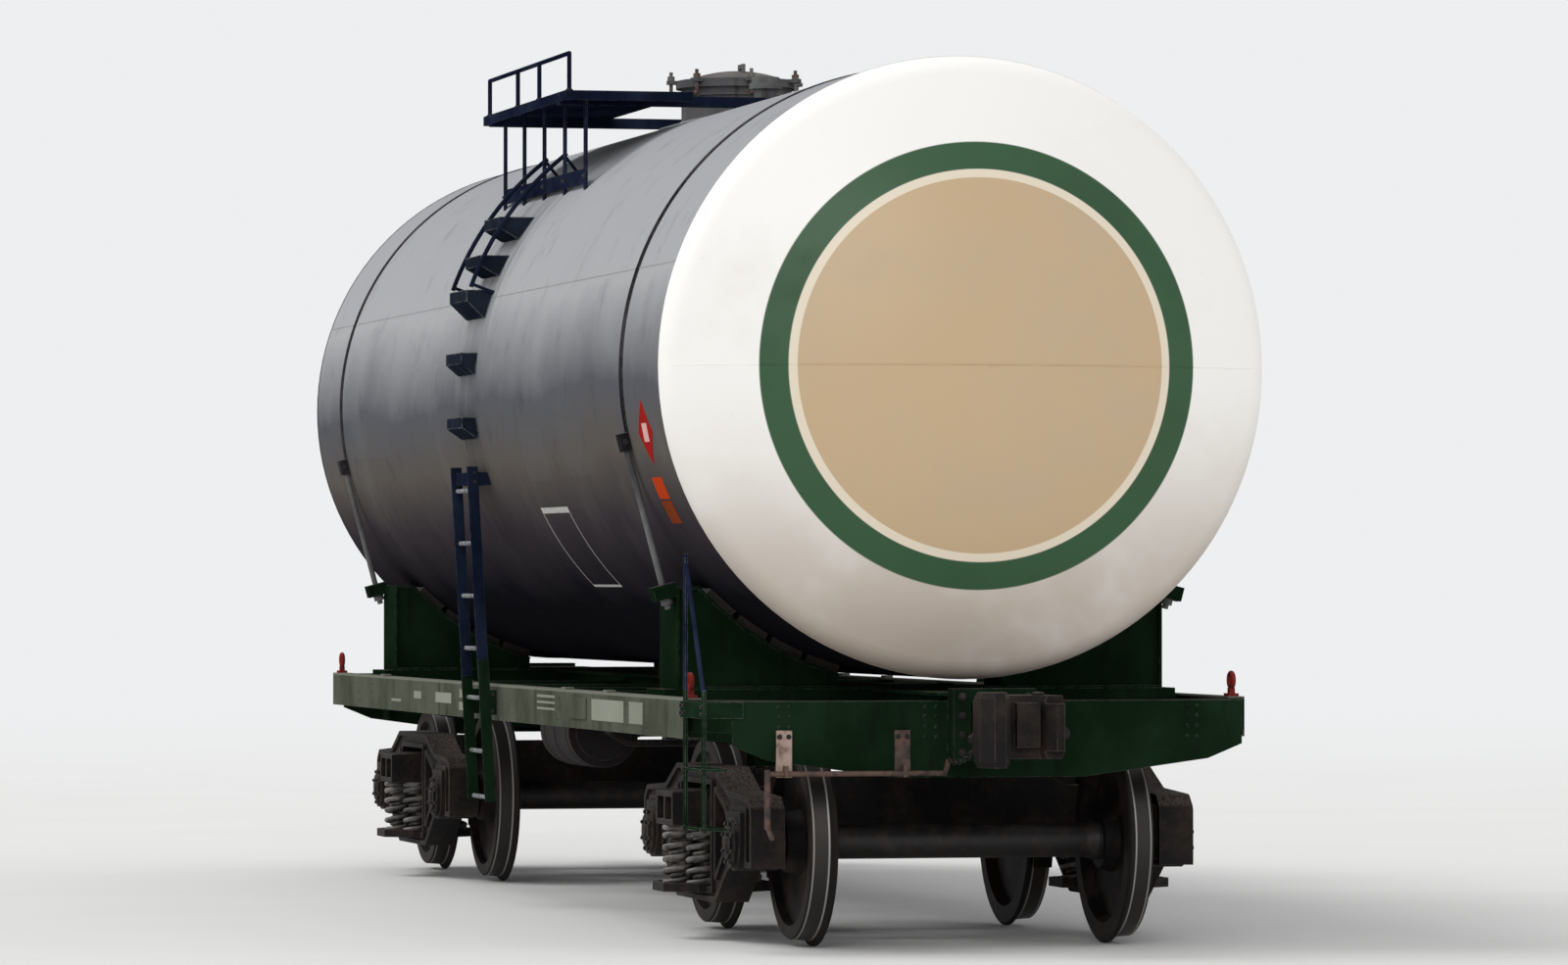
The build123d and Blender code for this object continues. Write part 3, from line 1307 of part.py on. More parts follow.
def corner_step():
    """The shunter's step at the front corner on the side of the negative Y."""
    depth, thick = CORNER_BAR
    y = (-STEP_POST_Y - thick, -STEP_POST_Y)
    near, far = STEP_POST_X
    z0 = RAIL + CORNER_STEP_BOTTOM
    first = block(about(near, depth / 2), y, (z0, RAIL + STEP_POST_TOP))
    second = block(about(far, depth / 2), y, (z0, RAIL + STEP_SECOND_TOP))
    middle = -STEP_POST_Y - thick / 2
    brace_top = (near, middle, RAIL + STEP_POST_TOP - depth / 2)
    brace_foot = (far, middle, RAIL + STEP_SECOND_TOP - depth / 2)
    pieces = [first, second, bar(brace_top, brace_foot, STEP_BRACE_RADIUS)]
    reach = (near - depth / 2, far + depth / 2)
    for height in CORNER_TREADS:
        tread_y = (y[0], y[0] + TREAD_DEPTH)
        pieces.append(block(reach, tread_y, about(RAIL + height, thick / 2)))
    top = RAIL + SIDE_SILL_TOP
    z = (top - CORNER_STRAP_Z[0], top - CORNER_STRAP_Z[1])
    pieces.append(block((SIDE_SILL_END + RUNNING_GAP, reach[1]), y, z))
    inner_y = (-STEP_POST_Y, -END_BEAM_HALF + depth)
    foot_x = (HALF_FRAME + RUNNING_GAP, HALF_FRAME + thick)
    pieces.append(block(foot_x, inner_y, z))
    strap_start = near - CORNER_STRAP_REACH
    pieces.append(block((strap_start, near), y, z))
    tab_y = (-STEP_POST_Y - 1, -SIDE_SILL_Y)
    pieces.append(block((strap_start, SIDE_SILL_END), tab_y, z))
    return group(*pieces)


# Fittings

def drain_valve():
    """The bottom outlet through the centre sill, with its hinge ears."""
    face = RAIL + OUTLET_FACE
    root = TANK_FOOT + OUTLET_ROOT
    pipe = post(0, 0, (face, root), OUTLET_RADIUS)
    flange = post(0, 0, (face, face + OUTLET_FLANGE), OUTLET_FLANGE_RADIUS)
    bell = post(0, 0, (RAIL + SILL_TOP, root), OUTLET_RADIUS + OUTLET_BELL)
    hinge_z = face - RUNNING_GAP - CAP_THICKNESS / 2
    half = CAP_EAR_HALF
    pieces = [pipe, flange, bell]
    for side in (-1, 1):
        y = span(side * CAP_EAR[0], side * CAP_EAR[1])
        ear_x = (OUTLET_FLANGE_RADIUS - OUTLET_FLANGE, CAP_HINGE_X + half)
        ear = block(ear_x, y, (hinge_z - half, face + OUTLET_FLANGE - CAP_EAR_HALF / 4))
        notch_z = (hinge_z - half - 1, face)
        pieces.append(ear - block((0, CAP_HINGE_X - CAP_KNUCKLE_HALF), y, notch_z))
    pin_y = about(0, CAP_EAR[1] + HINGE_PIN_END / 2)
    pieces.append(bar_y(CAP_HINGE_X, hinge_z, pin_y, HINGE_PIN_RADIUS))
    return clear_of_tank(group(*pieces), about(0, 2 * OUTLET_FLANGE_RADIUS))


def drain_cap():
    """The hinged cap under the outlet, with its screw boss."""
    face = RAIL + OUTLET_FACE - RUNNING_GAP
    low = face - CAP_THICKNESS
    hinge_z = face - CAP_THICKNESS / 2
    boss_radius, boss_height = CAP_BOSS
    screw_radius, screw_length = CAP_SCREW
    tee_radius, tee_half = CAP_TEE
    knuckle_y = about(0, CAP_KNUCKLE_HALF)
    pieces = [
        post(0, 0, (low, face), OUTLET_FLANGE_RADIUS - CAP_MARGIN),
        post(0, 0, (low - boss_height, low), boss_radius),
        post(0, 0, (low - screw_length, low - boss_height), screw_radius),
        bar_y(0, low - screw_length + tee_radius, about(0, tee_half), tee_radius),
        block((boss_radius, CAP_HINGE_X), knuckle_y, (low, face - 1)),
        bar_y(CAP_HINGE_X, hinge_z, knuckle_y, CAP_KNUCKLE_RADIUS),
    ]
    hole_radius = HINGE_PIN_RADIUS + HINGE_PIN_GAP
    return group(*pieces) - bar_y(CAP_HINGE_X, hinge_z, wider(knuckle_y), hole_radius)


def air_vessel(place, radius, length, side):
    """A drum along the car, on two brackets from the centre sill."""
    x, y, z = place
    z = RAIL + z
    half = length / 2
    far = half + VESSEL_END
    drum = bar((x - half, y, z), (x + half, y, z), radius)
    ends = bar((x - far, y, z), (x + far, y, z), radius * VESSEL_END_SHARE)
    reach = span(side * WEB_OUTER, y)
    shelf = (z + VESSEL_SHELF[0], z + VESSEL_SHELF[1])
    brackets = []
    for offset in (-radius / 2, radius / 2):
        brackets.append(block(about(x + offset, VESSEL_BRACKET_HALF), reach, shelf))
    return group(drum, ends, *brackets) - pipe_hole(about(x, far + 1))


def brake_cylinder():
    """The brake cylinder with its piston rod out to the lever."""
    drum = air_vessel(CYLINDER_PLACE, CYLINDER_RADIUS, CYLINDER_LENGTH, 1)
    x, y, _ = CYLINDER_PLACE
    z = RAIL + SILL_BOTTOM - LEVER_DROP
    start = x + CYLINDER_LENGTH / 2
    rod = bar((start, y, z), (LEVER_X - LEVER_HALF_WIDTH, y, z), PISTON_ROD_RADIUS)
    return group(drum, rod)


def brake_rods():
    """The level levers and the long pull rods under the centre sill."""
    z = RAIL + SILL_BOTTOM - LEVER_DROP
    thick = about(z, LEVER_HALF_THICKNESS)
    rod_end = BOGIE_X - HALF_BASE - PULL_ROD_GAP
    near_edge = -LEVER_ROD_Y - LEVER_HALF_WIDTH
    pieces = []
    for side, far_edge in ((1, CYLINDER_PLACE[1] + LEVER_END), (-1, LEVER_ROD_Y + LEVER_END)):
        x = side * LEVER_X
        pieces.append(block(about(x, LEVER_HALF_WIDTH), (near_edge, far_edge), thick))
        start = (x, -LEVER_ROD_Y, z)
        pieces.append(bar(start, (side * rod_end, -LEVER_ROD_Y, z), PULL_ROD_RADIUS))
        for y in (-LEVER_ROD_Y, LEVER_ROD_Y):
            hanger_x = about(x, LEVER_HANGER_HALF)
            hanger_y = about(y, LEVER_HANGER_HALF)
            pieces.append(block(hanger_x, hanger_y, (z, RAIL + SILL_BOTTOM)))
    tie = (-LEVER_X, LEVER_ROD_Y, z), (LEVER_X, LEVER_ROD_Y, z)
    pieces.append(bar(*tie, PULL_ROD_RADIUS))
    return group(*pieces)


def brake_pipe():
    """The train pipe from end to end, with a cock and nipple at each end."""
    z = RAIL + PIPE_HEIGHT
    end = HALF_FRAME + PIPE_REACH
    pieces = [bar((-end, PIPE_Y, z), (end, PIPE_Y, z), PIPE_RADIUS)]
    for side in (-1, 1):
        body = [(side * (end + x), PIPE_Y, z) for x in COCK_X]
        pieces.append(bar(*body, COCK_RADIUS))
        handle_x = side * (end + COCK_HANDLE_X)
        handle = post(handle_x, PIPE_Y, (z, z + COCK_HANDLE_RISE), COCK_HANDLE_RADIUS)
        pieces.append(handle)
        tip = (side * (end + COCK_X[1] + NIPPLE_LENGTH), PIPE_Y, z)
        pieces.append(bar((side * end, PIPE_Y, z), tip, NIPPLE_RADIUS))
    return group(*pieces)


def cast_slab(outline, z):
    """A plan outline from the pull face made thick, its top and foot sloped as on a casting."""
    points = [(PULL_FACE + x, y) for x, y in outline]
    slab = extrude_z(points, wider(z, -COUPLER_EDGE))
    below = slab.faces().sort_by(Axis.Z)[0]
    foot = extrude(below, COUPLER_EDGE, dir=(0, 0, -1), taper=COUPLER_SLOPE)
    top = mirror(foot, about=Plane.XY.offset((z[0] + z[1]) / 2))
    return group(slab, foot, top)


def coupler():
    """The automatic coupler at the front, its pull face in the middle of the jaws."""
    z = RAIL + COUPLER_HEIGHT
    shank_x = (HALF_FRAME - SHANK_INSIDE, PULL_FACE + COUPLER_HEAD[0][0])
    shank = block(wider(shank_x, END_PLATE), about(0, SHANK_HALF_WIDTH), about(z, SHANK_HEIGHT / 2))
    head = cast_slab(COUPLER_HEAD, about(z, COUPLER_HEAD_HALF))
    small_x, small_y, small_half = SMALL_TOOTH
    for side in (-1, 1):
        cut_z = span(z + side * small_half, z + side * (COUPLER_HEAD_HALF + 1))
        head = head - block((PULL_FACE + small_x[0], PULL_FACE + small_x[1]), small_y, cut_z)
    tooth = cast_slab(COUPLER_TOOTH, (z + COUPLER_TOOTH_Z[0], z + COUPLER_TOOTH_Z[1]))
    lock_x, lock_y, lock_z = COUPLER_LOCK
    lock = block(
        (PULL_FACE + lock_x[0], PULL_FACE + lock_x[1]),
        lock_y,
        (z + lock_z[0], z + lock_z[1]),
    )
    collar_x = (PULL_FACE + COLLAR_X[0], PULL_FACE + COLLAR_X[1])
    collar = block(collar_x, about(0, COLLAR_HALF[0]), about(z, COLLAR_HALF[1]))
    return group(shank, head, tooth, lock, collar)


def uncoupling_lever():
    """The lever rod along the front end beam, its handle on the negative Y side."""
    x = HALF_FRAME + ROD_GAP
    z = RAIL + ROD_HEIGHT
    outer, inner = ROD_Y
    foot = RAIL + HANDLE_FOOT
    grip_end = (x + GRIP_REACH, outer, foot + GRIP_RISE[1])
    crank_drop, crank_reach = CRANK
    crank = ((x, inner - crank_drop, z - crank_drop),
             (x + crank_reach, inner - crank_drop, z + crank_reach - crank_drop))
    pieces = [
        bar((x, outer, z), (x, inner, z), LEVER_ROD_RADIUS),
        post(x, outer, (foot, z + HANDLE_TOP), HANDLE_RADIUS),
        bar((x, outer, foot + GRIP_RISE[0]), grip_end, GRIP_RADIUS),
        bar(*crank, GRIP_RADIUS),
    ]
    face = HALF_FRAME + RUNNING_GAP
    half, thickness = ROD_BRACKET_PLATE
    heights = (z + ROD_BRACKET_RISE[0], z + ROD_BRACKET_RISE[1])
    for y in ROD_BRACKET_Y:
        pieces.append(block((face, face + thickness), about(y, half), heights))
        arm_z = (heights[0], z + half)
        pieces.append(block((face, x + ROD_BRACKET_END), about(y, ROD_BRACKET_ARM), arm_z))
    return group(*pieces)


def tow_cleat():
    """The ring on its foot at the end of a side sill."""
    x = SIDE_SILL_END - CLEAT_X
    y = SIDE_SILL_Y - CLEAT_Y
    z = RAIL + SIDE_SILL_TOP
    foot_x, foot_y, foot_height = CLEAT_FOOT
    neck_x, neck_y, neck_height = CLEAT_NECK
    ring_radius, ring_bar, ring_height = CLEAT_RING
    foot = block(about(x, foot_x), about(y, foot_y), (z, z + foot_height))
    neck = block(about(x, neck_x), about(y, neck_y), (z, z + neck_height))
    ring = Pos(x, y, z + ring_height) * Rot(90, 0, 0) * Torus(ring_radius, ring_bar)
    return group(foot, neck, ring)


# Build every piece and write it

os.makedirs("parts", exist_ok=True)

sill = center_sill()
front_bolster = body_bolster(sill)
front_beam = end_beam(sill)
# The brake pipe stays on one side of the car, so the rear beams are mirrored
# and not turned, and their holes stay in line with the pipe.
rear_bolster = mirror(front_bolster, about=Plane.YZ)
rear_beam = mirror(front_beam, about=Plane.YZ)
sill_right = other_side(side_sill())
outriggers = []
for beam_x in CROSS_BEAM_X:
    arm = cross_beam(beam_x)
    outriggers += [arm, other_side(arm)]

save("center_sill", sill)
save("body_bolster_front", front_bolster)
save("body_bolster_rear", rear_bolster)
save("end_beam_front", front_beam)
save("end_beam_rear", rear_beam)
save("side_sills", group(side_sill(), sill_right))
save("cross_beams", group(*outriggers))

cradle = saddle()
save("saddle_front", cradle)
save("saddle_rear", other_end(cradle))
timber = saddle_blocks()
save("saddle_blocks", group(*timber, *[other_end(piece) for piece in timber]))
save("tank_shell", tank_shell())
strap = tank_strap()
save("tank_straps", group(strap, other_end(strap)))
pair = [strap_rod(-1), strap_rod(1)]
save("strap_rods", group(*pair, *[other_end(piece) for piece in pair]))
save("anchor_feet", group(*anchor_feet()))

save("manway_neck", manway_neck())
save("hatch_lid", hatch_lid())
save("lid_bolts", group(*lid_bolts()))
save("relief_valve", relief_valve())
save("platform_decks", group(deck(), other_side(deck())))
save("platform_beams", group(*deck_beams()))
save("platform_posts", group(deck_posts(), other_side(deck_posts())))
save("platform_rails", group(deck_rail(), other_side(deck_rail())))

steps = [tank_step(*row) for row in TANK_STEPS]
save("tank_steps", group(*steps, *[other_side(piece) for piece in steps]))
rails = [tank_handrail(-HANDRAIL_X), tank_handrail(HANDRAIL_X)]
save("tank_handrails", group(*rails, *[other_side(piece) for piece in rails]))
save("upper_ladders", group(upper_ladder(), other_side(upper_ladder())))
save("lower_ladders", group(lower_ladder(), other_side(lower_ladder())))
save("corner_steps", group(corner_step(), other_end(corner_step())))

save("drain_valve", drain_valve())
save("drain_cap", drain_cap())
save("brake_cylinder", brake_cylinder())
save("brake_reservoir", air_vessel(RESERVOIR_PLACE, RESERVOIR_RADIUS, RESERVOIR_LENGTH, -1))
save("brake_rods", brake_rods())
save("brake_pipe", brake_pipe())
save("coupler_front", coupler())
save("coupler_rear", other_end(coupler()))
save("uncoupling_levers", group(uncoupling_lever(), other_end(uncoupling_lever())))
cleat = tow_cleat()
cleats = [cleat, other_side(cleat), other_end(cleat), other_side(other_end(cleat))]
save("tow_cleats", group(*cleats))

one_wheel = wheel()
box = axle_box()
frame_side = side_frame()
beam = brake_beam()
nest = spring_nest()
cross = bogie_bolster()
wedges = friction_wedges()
number = 0
for end, centre in (("front", BOGIE_X), ("rear", -BOGIE_X)):
    here = Pos(centre, 0, 0)
    boxes = []
    for offset in (HALF_BASE, -HALF_BASE):
        number += 1
        hub = Pos(centre + offset, 0, AXLE_Z)
        save(f"axle_{number}", hub * axle())
        save(f"wheels_{number}", group(hub * one_wheel, hub * other_side(one_wheel)))
        boxes += [hub * box, hub * other_side(box)]
    save(f"axle_boxes_{end}", group(*boxes))
    save(f"side_frames_{end}", group(here * frame_side, here * other_side(frame_side)))
    springs = [here * piece for piece in nest]
    springs += [here * other_side(piece) for piece in nest]
    save(f"springs_{end}", group(*springs))
    save(f"bogie_bolster_{end}", here * cross)
    save(f"friction_wedges_{end}", group(*[here * piece for piece in wedges]))
    save(f"brake_beams_{end}", group(here * beam, here * other_end(beam)))
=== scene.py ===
from itertools import product
from math import cos, pi, radians, sin, sqrt, tau

import bmesh
import bpy
import numpy as np
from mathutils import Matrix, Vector

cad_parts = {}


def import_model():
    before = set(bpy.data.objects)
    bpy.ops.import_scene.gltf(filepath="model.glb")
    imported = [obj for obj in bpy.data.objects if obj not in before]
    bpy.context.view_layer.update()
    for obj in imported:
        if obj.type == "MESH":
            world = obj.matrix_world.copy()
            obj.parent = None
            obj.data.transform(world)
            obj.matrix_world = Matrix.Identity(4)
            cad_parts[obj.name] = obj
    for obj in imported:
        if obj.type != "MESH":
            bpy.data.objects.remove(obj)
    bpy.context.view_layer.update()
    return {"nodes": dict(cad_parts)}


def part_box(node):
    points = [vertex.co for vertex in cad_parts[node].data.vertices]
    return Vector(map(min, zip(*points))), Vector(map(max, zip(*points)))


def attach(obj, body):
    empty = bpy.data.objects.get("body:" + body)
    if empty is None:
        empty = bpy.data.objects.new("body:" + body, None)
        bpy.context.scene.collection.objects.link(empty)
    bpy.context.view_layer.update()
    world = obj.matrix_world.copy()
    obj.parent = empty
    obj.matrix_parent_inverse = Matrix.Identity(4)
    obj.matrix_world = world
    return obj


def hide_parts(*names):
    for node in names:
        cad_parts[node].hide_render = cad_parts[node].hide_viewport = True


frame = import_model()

NODES = frame["nodes"]

# Sizes in metres, in the frame of the model: X along the car, Z up from the wheel flanges

RAIL = 0.028
SHELL_LOW, SHELL_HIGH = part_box("tank_shell")
TANK_RADIUS = (SHELL_HIGH.y - SHELL_LOW.y) / 2
TANK_Z = (SHELL_HIGH.z + SHELL_LOW.z) / 2
TANK_TIP = SHELL_HIGH.x
HEAD_DEPTH = 0.48
HEAD_KNUCKLE = 0.15
TANK_END = TANK_TIP - HEAD_DEPTH
BOGIE_X = 3.9
HALF_BASE = 0.925
AXLE_X = [BOGIE_X + HALF_BASE, BOGIE_X - HALF_BASE, -BOGIE_X + HALF_BASE, -BOGIE_X - HALF_BASE]
AXLE_Z = 0.503
JOURNAL_Y = 1.018
HALF_FRAME = 5.4
ENDS = (("front", 1), ("rear", -1))
BOTH = (-1, 1)
SILL_LOW, SILL_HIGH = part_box("side_sills")
DECK_LOW, DECK_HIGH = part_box("platform_decks")

# The barrel's weld seams: degrees above the level of its axis, and the beads' radius

SHELL_SEAM_ANGLE = 19.5
LOWER_SEAM_ANGLE = -52.0
SEAM_RADIUS = 0.0035


def show(piece):
    """Puts an object into the scene."""
    bpy.context.scene.collection.objects.link(piece)


def aim(piece, ahead):
    """Turns a camera or a lamp to look along a direction, and shows it."""
    piece.rotation_mode = "QUATERNION"
    piece.rotation_quaternion = ahead.to_track_quat("-Z", "Y")
    show(piece)


# Mesh building

ALONG = (1, 0, 0)
UP = (0, 0, 1)


class Shape:
    """Points and faces of one piece, gathered before its mesh is made."""

    def __init__(self):
        self.points = []
        self.faces = []
        self.count = 0

    def add(self, points, faces):
        """Adds points with faces that number them from zero."""
        points = np.asarray(points, float).reshape(-1, 3)
        self.points.append(points)
        start = self.count
        self.faces.extend([[start + i for i in face] for face in faces])
        self.count += len(points)

    def make(self, name, material, slot=None, body="root", bevel=0.0, sharp=32.0):
        """The piece's object in one of the MATERIALS, riding on its body."""
        mesh = bpy.data.meshes.new(name)
        mesh.from_pydata(np.concatenate(self.points).tolist(), [], self.faces)
        work = bmesh.new()
        work.from_mesh(mesh)
        bmesh.ops.remove_doubles(work, verts=work.verts, dist=1e-6)
        bmesh.ops.dissolve_degenerate(work, edges=work.edges, dist=1e-7)
        bmesh.ops.recalc_face_normals(work, faces=work.faces)
        work.to_mesh(mesh)
        work.free()
        mesh.polygons.foreach_set("use_smooth", [True] * len(mesh.polygons))
        mesh.set_sharp_from_angle(angle=radians(sharp))
        mesh.materials.append(MATERIALS[material])
        piece = bpy.data.objects.new(name, mesh)
        show(piece)
        if bevel:
            rounding = piece.modifiers.new("rounding", "BEVEL")
            rounding.width = bevel
            rounding.segments = 2
            rounding.limit_method = "ANGLE"
            rounding.angle_limit = radians(40)
        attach(piece, body)
        return piece


def across(axis):
    """Two directions square to the axis and to each other."""
    axis = np.asarray(axis, float)
    axis = axis / np.linalg.norm(axis)
    helper = (0.0, 0.0, 1.0) if abs(axis[2]) < 0.9 else (1.0, 0.0, 0.0)
    first = np.cross(helper, axis)
    first = first / np.linalg.norm(first)
    return axis, first, np.cross(axis, first)


def grid(rows, columns, around):
    """Faces of a sheet of points, closed round its columns where asked."""
    faces = []
    for i in range(rows - 1):
        for j in range(columns if around else columns - 1):
            k = (j + 1) % columns
            faces.append((i * columns + j, i * columns + k, (i + 1) * columns + k, (i + 1) * columns + j))
    return faces


def lathe(shape, profile, place, axis, steps):
    """A turned form: the profile's pairs are a radius and a distance along the axis."""
    axis, first, second = across(axis)
    turn = np.arange(steps) * tau / steps
    round_points = np.cos(turn)[:, None] * first + np.sin(turn)[:, None] * second
    points = [np.asarray(place) + axis * along + round_points * radius for radius, along in profile]
    faces = grid(len(profile), steps, True)
    if profile[0][0] > 0:
        faces.append(tuple(range(steps)))
    if profile[-1][0] > 0:
        last = (len(profile) - 1) * steps
        faces.append(tuple(range(last, last + steps)))
    shape.add(np.concatenate(points), faces)


def tube(shape, path, radius, sides, closed=False):
    """A round bar along a path of points."""
    path = np.asarray(path, float)
    ahead = np.roll(path, -1, 0) - np.roll(path, 1, 0)
    if not closed:
        ahead[0] = path[1] - path[0]
        ahead[-1] = path[-1] - path[-2]
    ahead /= np.linalg.norm(ahead, axis=1)[:, None]
    side = across(ahead[0])[1]
    turn = np.arange(sides) * tau / sides
    rings = []
    for point, way in zip(path, ahead):
        side = side - way * side.dot(way)
        side /= np.linalg.norm(side)
        other = np.cross(way, side)
        rings.append(point + radius * (np.cos(turn)[:, None] * side + np.sin(turn)[:, None] * other))
    faces = grid(len(path), sides, True)
    last = (len(path) - 1) * sides
    if closed:
        faces += [(last + j, last + (j + 1) % sides, (j + 1) % sides, j) for j in range(sides)]
    else:
        faces += [tuple(range(sides)), tuple(range(last, last + sides))]
    shape.add(np.concatenate(rings), faces)


def block(shape, x, y, z):
    """A box between two values on each axis."""
    points = [(a, b, c) for a in x for b in y for c in z]
    faces = [(0, 1, 3, 2), (4, 6, 7, 5), (0, 4, 5, 1), (2, 3, 7, 6), (0, 2, 6, 4), (1, 5, 7, 3)]
    shape.add(points, faces)


def bolt(shape, place, axis, half, height, washer=0.003):
    """A hexagon head of half a width and a height, on its washer."""
    top = washer + height
    head = [(0, top), (half * 0.8, top), (half, washer + height * 0.85), (half, washer)]
    lathe(shape, head, place, axis, 6)
    lathe(shape, [(0, washer), (half * 1.4, washer), (half * 1.4, 0)], place, axis, 12)


def rivet(shape, place, axis, radius):
    """A round rivet head."""
    lathe(shape, [(0, radius * 0.6), (radius * 0.6, radius * 0.5), (radius, 0)], place, axis, 10)


def ring_places(place, axis, radius, count, start=0.0):
    """Points evenly round a circle."""
    axis, first, second = across(axis)
    turns = [radians(start) + tau * i / count for i in range(count)]
    return [np.asarray(place) + radius * (cos(t) * first + sin(t) * second) for t in turns]


def half_turn(place, sign):
    """A place at the front end, or the same one at the rear end for a sign of -1."""
    return (sign * place[0], sign * place[1], place[2])


def shell_point(x, angle, side, lift=0.0):
    """A point on the tank's barrel, by its angle above the level."""
    radius = TANK_RADIUS + lift
    return (x, side * radius * cos(radians(angle)), TANK_Z + radius * sin(radians(angle)))


def head_reach(radius):
    """How far along X the dished head stands at a distance from the tank's axis."""
    flat = TANK_RADIUS - HEAD_KNUCKLE
    crown = (flat ** 2 - HEAD_KNUCKLE ** 2 + HEAD_DEPTH ** 2) / (2 * (HEAD_DEPTH - HEAD_KNUCKLE))
    joint = crown * flat / (crown - HEAD_KNUCKLE)
    if radius <= joint:
        return TANK_TIP - crown + sqrt(crown ** 2 - radius ** 2)
    return TANK_END + sqrt(max(HEAD_KNUCKLE ** 2 - (radius - flat) ** 2, 0))


# Colours, as they look on a screen, from 0 to 255

def colour(red, green, blue):
    """The same colour in the linear values that shaders use."""
    parts = [c / 255 for c in (red, green, blue)]
    return tuple(c / 12.92 if c < 0.04045 else ((c + 0.055) / 1.055) ** 2.4 for c in parts) + (1.0,)


# The barrel's tones by height: painted shade and a painted ground reflection low down, grime with a painted
# reflection in the low band, a painted horizon reflection near the middle, and a painted sky reflection
# above
BARREL_FOOT_SHADE = colour(25, 25, 30)
BARREL_LOW_SHADE = colour(60, 55, 60)
BARREL_GRIME_AND_REFLECTION = colour(95, 90, 85)
BARREL_HORIZON_REFLECTION = colour(90, 92, 98)
BARREL_SKY_REFLECTION = colour(168, 169, 171)
BARREL_CREST_REFLECTION = colour(155, 156, 160)
SLATE_RUN = colour(150, 149, 150)
SLATE_SOILED = colour(34, 31, 33)
SLATE_FRESH = colour(108, 110, 115)
HEAD_WHITE = colour(253, 251, 246)
# Soil on the heads; low on the white heads it is also painted shade
HEAD_SOIL_AND_SHADE = colour(190, 175, 160)
RING_GREEN = colour(52, 88, 58)
RING_DARK = colour(34, 62, 40)
DISC_TAN = colour(202, 176, 140)
DISC_EDGE = colour(234, 222, 200)
SEAM_DARK = colour(26, 30, 38)
LINE_WHITE = colour(206, 204, 200)
FRAME_GREEN = colour(16, 32, 18)
FRAME_GREEN_FADED = colour(30, 48, 33)
SILL_OLIVE = colour(88, 92, 80)
SILL_OLIVE_SOILED = colour(58, 60, 49)
# Painted highlight along the side sills' top lip
SILL_LIP_HIGHLIGHT = colour(128, 131, 119)
NAVY = colour(18, 24, 41)
NAVY_FADED = colour(40, 48, 68)
STEP_BLUE = colour(26, 32, 42)
STEP_BLUE_FADED = colour(46, 54, 66)
ROD_GREY = colour(92, 91, 93)
STRAP_BLACK = colour(30, 31, 35)
STRAP_WORN = colour(74, 70, 74)
CLEAT_RED = colour(130, 34, 32)
CLEAT_FADED = colour(116, 52, 48)
TIMBER_DARK = colour(28, 24, 20)
TIMBER_LIGHT = colour(60, 50, 42)
CAST_DARK = colour(20, 18, 18)
CAST_RUST = colour(44, 35, 31)
DUST = colour(110, 100, 94)
SPRING_DARK = colour(31, 29, 28)
# Rubbed steel of the springs, also their painted highlight
SPRING_RUBBED_AND_HIGHLIGHT = colour(112, 106, 101)
WHEEL_BROWN = colour(25, 21, 19)
WHEEL_DARK = colour(15, 14, 14)
# Painted glints along the running band's edges
TREAD_GLINT = colour(170, 167, 164)
TREAD_STEEL = colour(58, 55, 53)
TREAD_DULL = colour(28, 25, 24)
BARE_STEEL = colour(112, 109, 107)
BARE_RUST = colour(84, 60, 48)
PLACARD_RED = colour(164, 38, 33)
PLACARD_PALE = colour(214, 172, 164)
PLATE_ORANGE = colour(190, 66, 30)
PLATE_ORANGE_DULL = colour(134, 62, 33)
PLATE_WHITE = colour(144, 148, 135)
BRACKET_PINK = colour(166, 142, 130)
WORN_EDGE = colour(132, 134, 132)


class Nodes:
    """A node tree and the short words that build it."""

    def __init__(self, tree):
        self.tree = tree

    def node(self, kind, values=(), **fields):
        made = self.tree.nodes.new("ShaderNode" + kind)
        for name, value in fields.items():
            setattr(made, name, value)
        for key, value in dict(values).items():
            self.put(made.inputs[key], value)
        return made

    def put(self, socket, value):
        if isinstance(value, bpy.types.NodeSocket):
            self.tree.links.new(value, socket)
        else:
            socket.default_value = value

    def math(self, operation, first, second=0.0, clamp=False):
        made = self.node("Math", {0: first, 1: second}, operation=operation)
        made.use_clamp = clamp
        return made.outputs[0]

    def times(self, first, second):
        return self.math("MULTIPLY", first, second)

    def less(self, first, second):
        return self.math("SUBTRACT", first, second)

    def size(self, value):
        return self.math("ABSOLUTE", value)

    def distance(self, first, second):
        return self.math("SQRT", self.math("ADD", self.times(first, first), self.times(second, second)))

    def most(self, first, second):
        return self.math("MAXIMUM", first, second)

    def between(self, value, low, high, smooth=True):
        """0 below low and 1 above high."""
        values = {"Value": value, "From Min": low, "From Max": high}
        kind = "SMOOTHSTEP" if smooth else "LINEAR"
        return self.node("MapRange", values, interpolation_type=kind).outputs[0]

    def band(self, value, low, high, soft=0.002):
        """1 from low to high and 0 outside."""
        rise = self.between(value, low - soft, low + soft)
        fall = self.between(value, high - soft, high + soft)
        return self.math("SUBTRACT", rise, fall, clamp=True)

    def blend(self, share, first, second):
        made = self.node("Mix", data_type="RGBA")
        self.put(made.inputs[0], share)
        self.put(made.inputs[6], first)
        self.put(made.inputs[7], second)
        return made.outputs[2]

    def cover(self, shade, tone, mask, share):
        """The shade with a share of a tone laid over it where the mask says."""
        return self.blend(self.times(mask, share), shade, tone)

    def blend_value(self, share, first, second):
        made = self.node("Mix", {0: share, 2: first, 3: second}, data_type="FLOAT")
        return made.outputs[0]


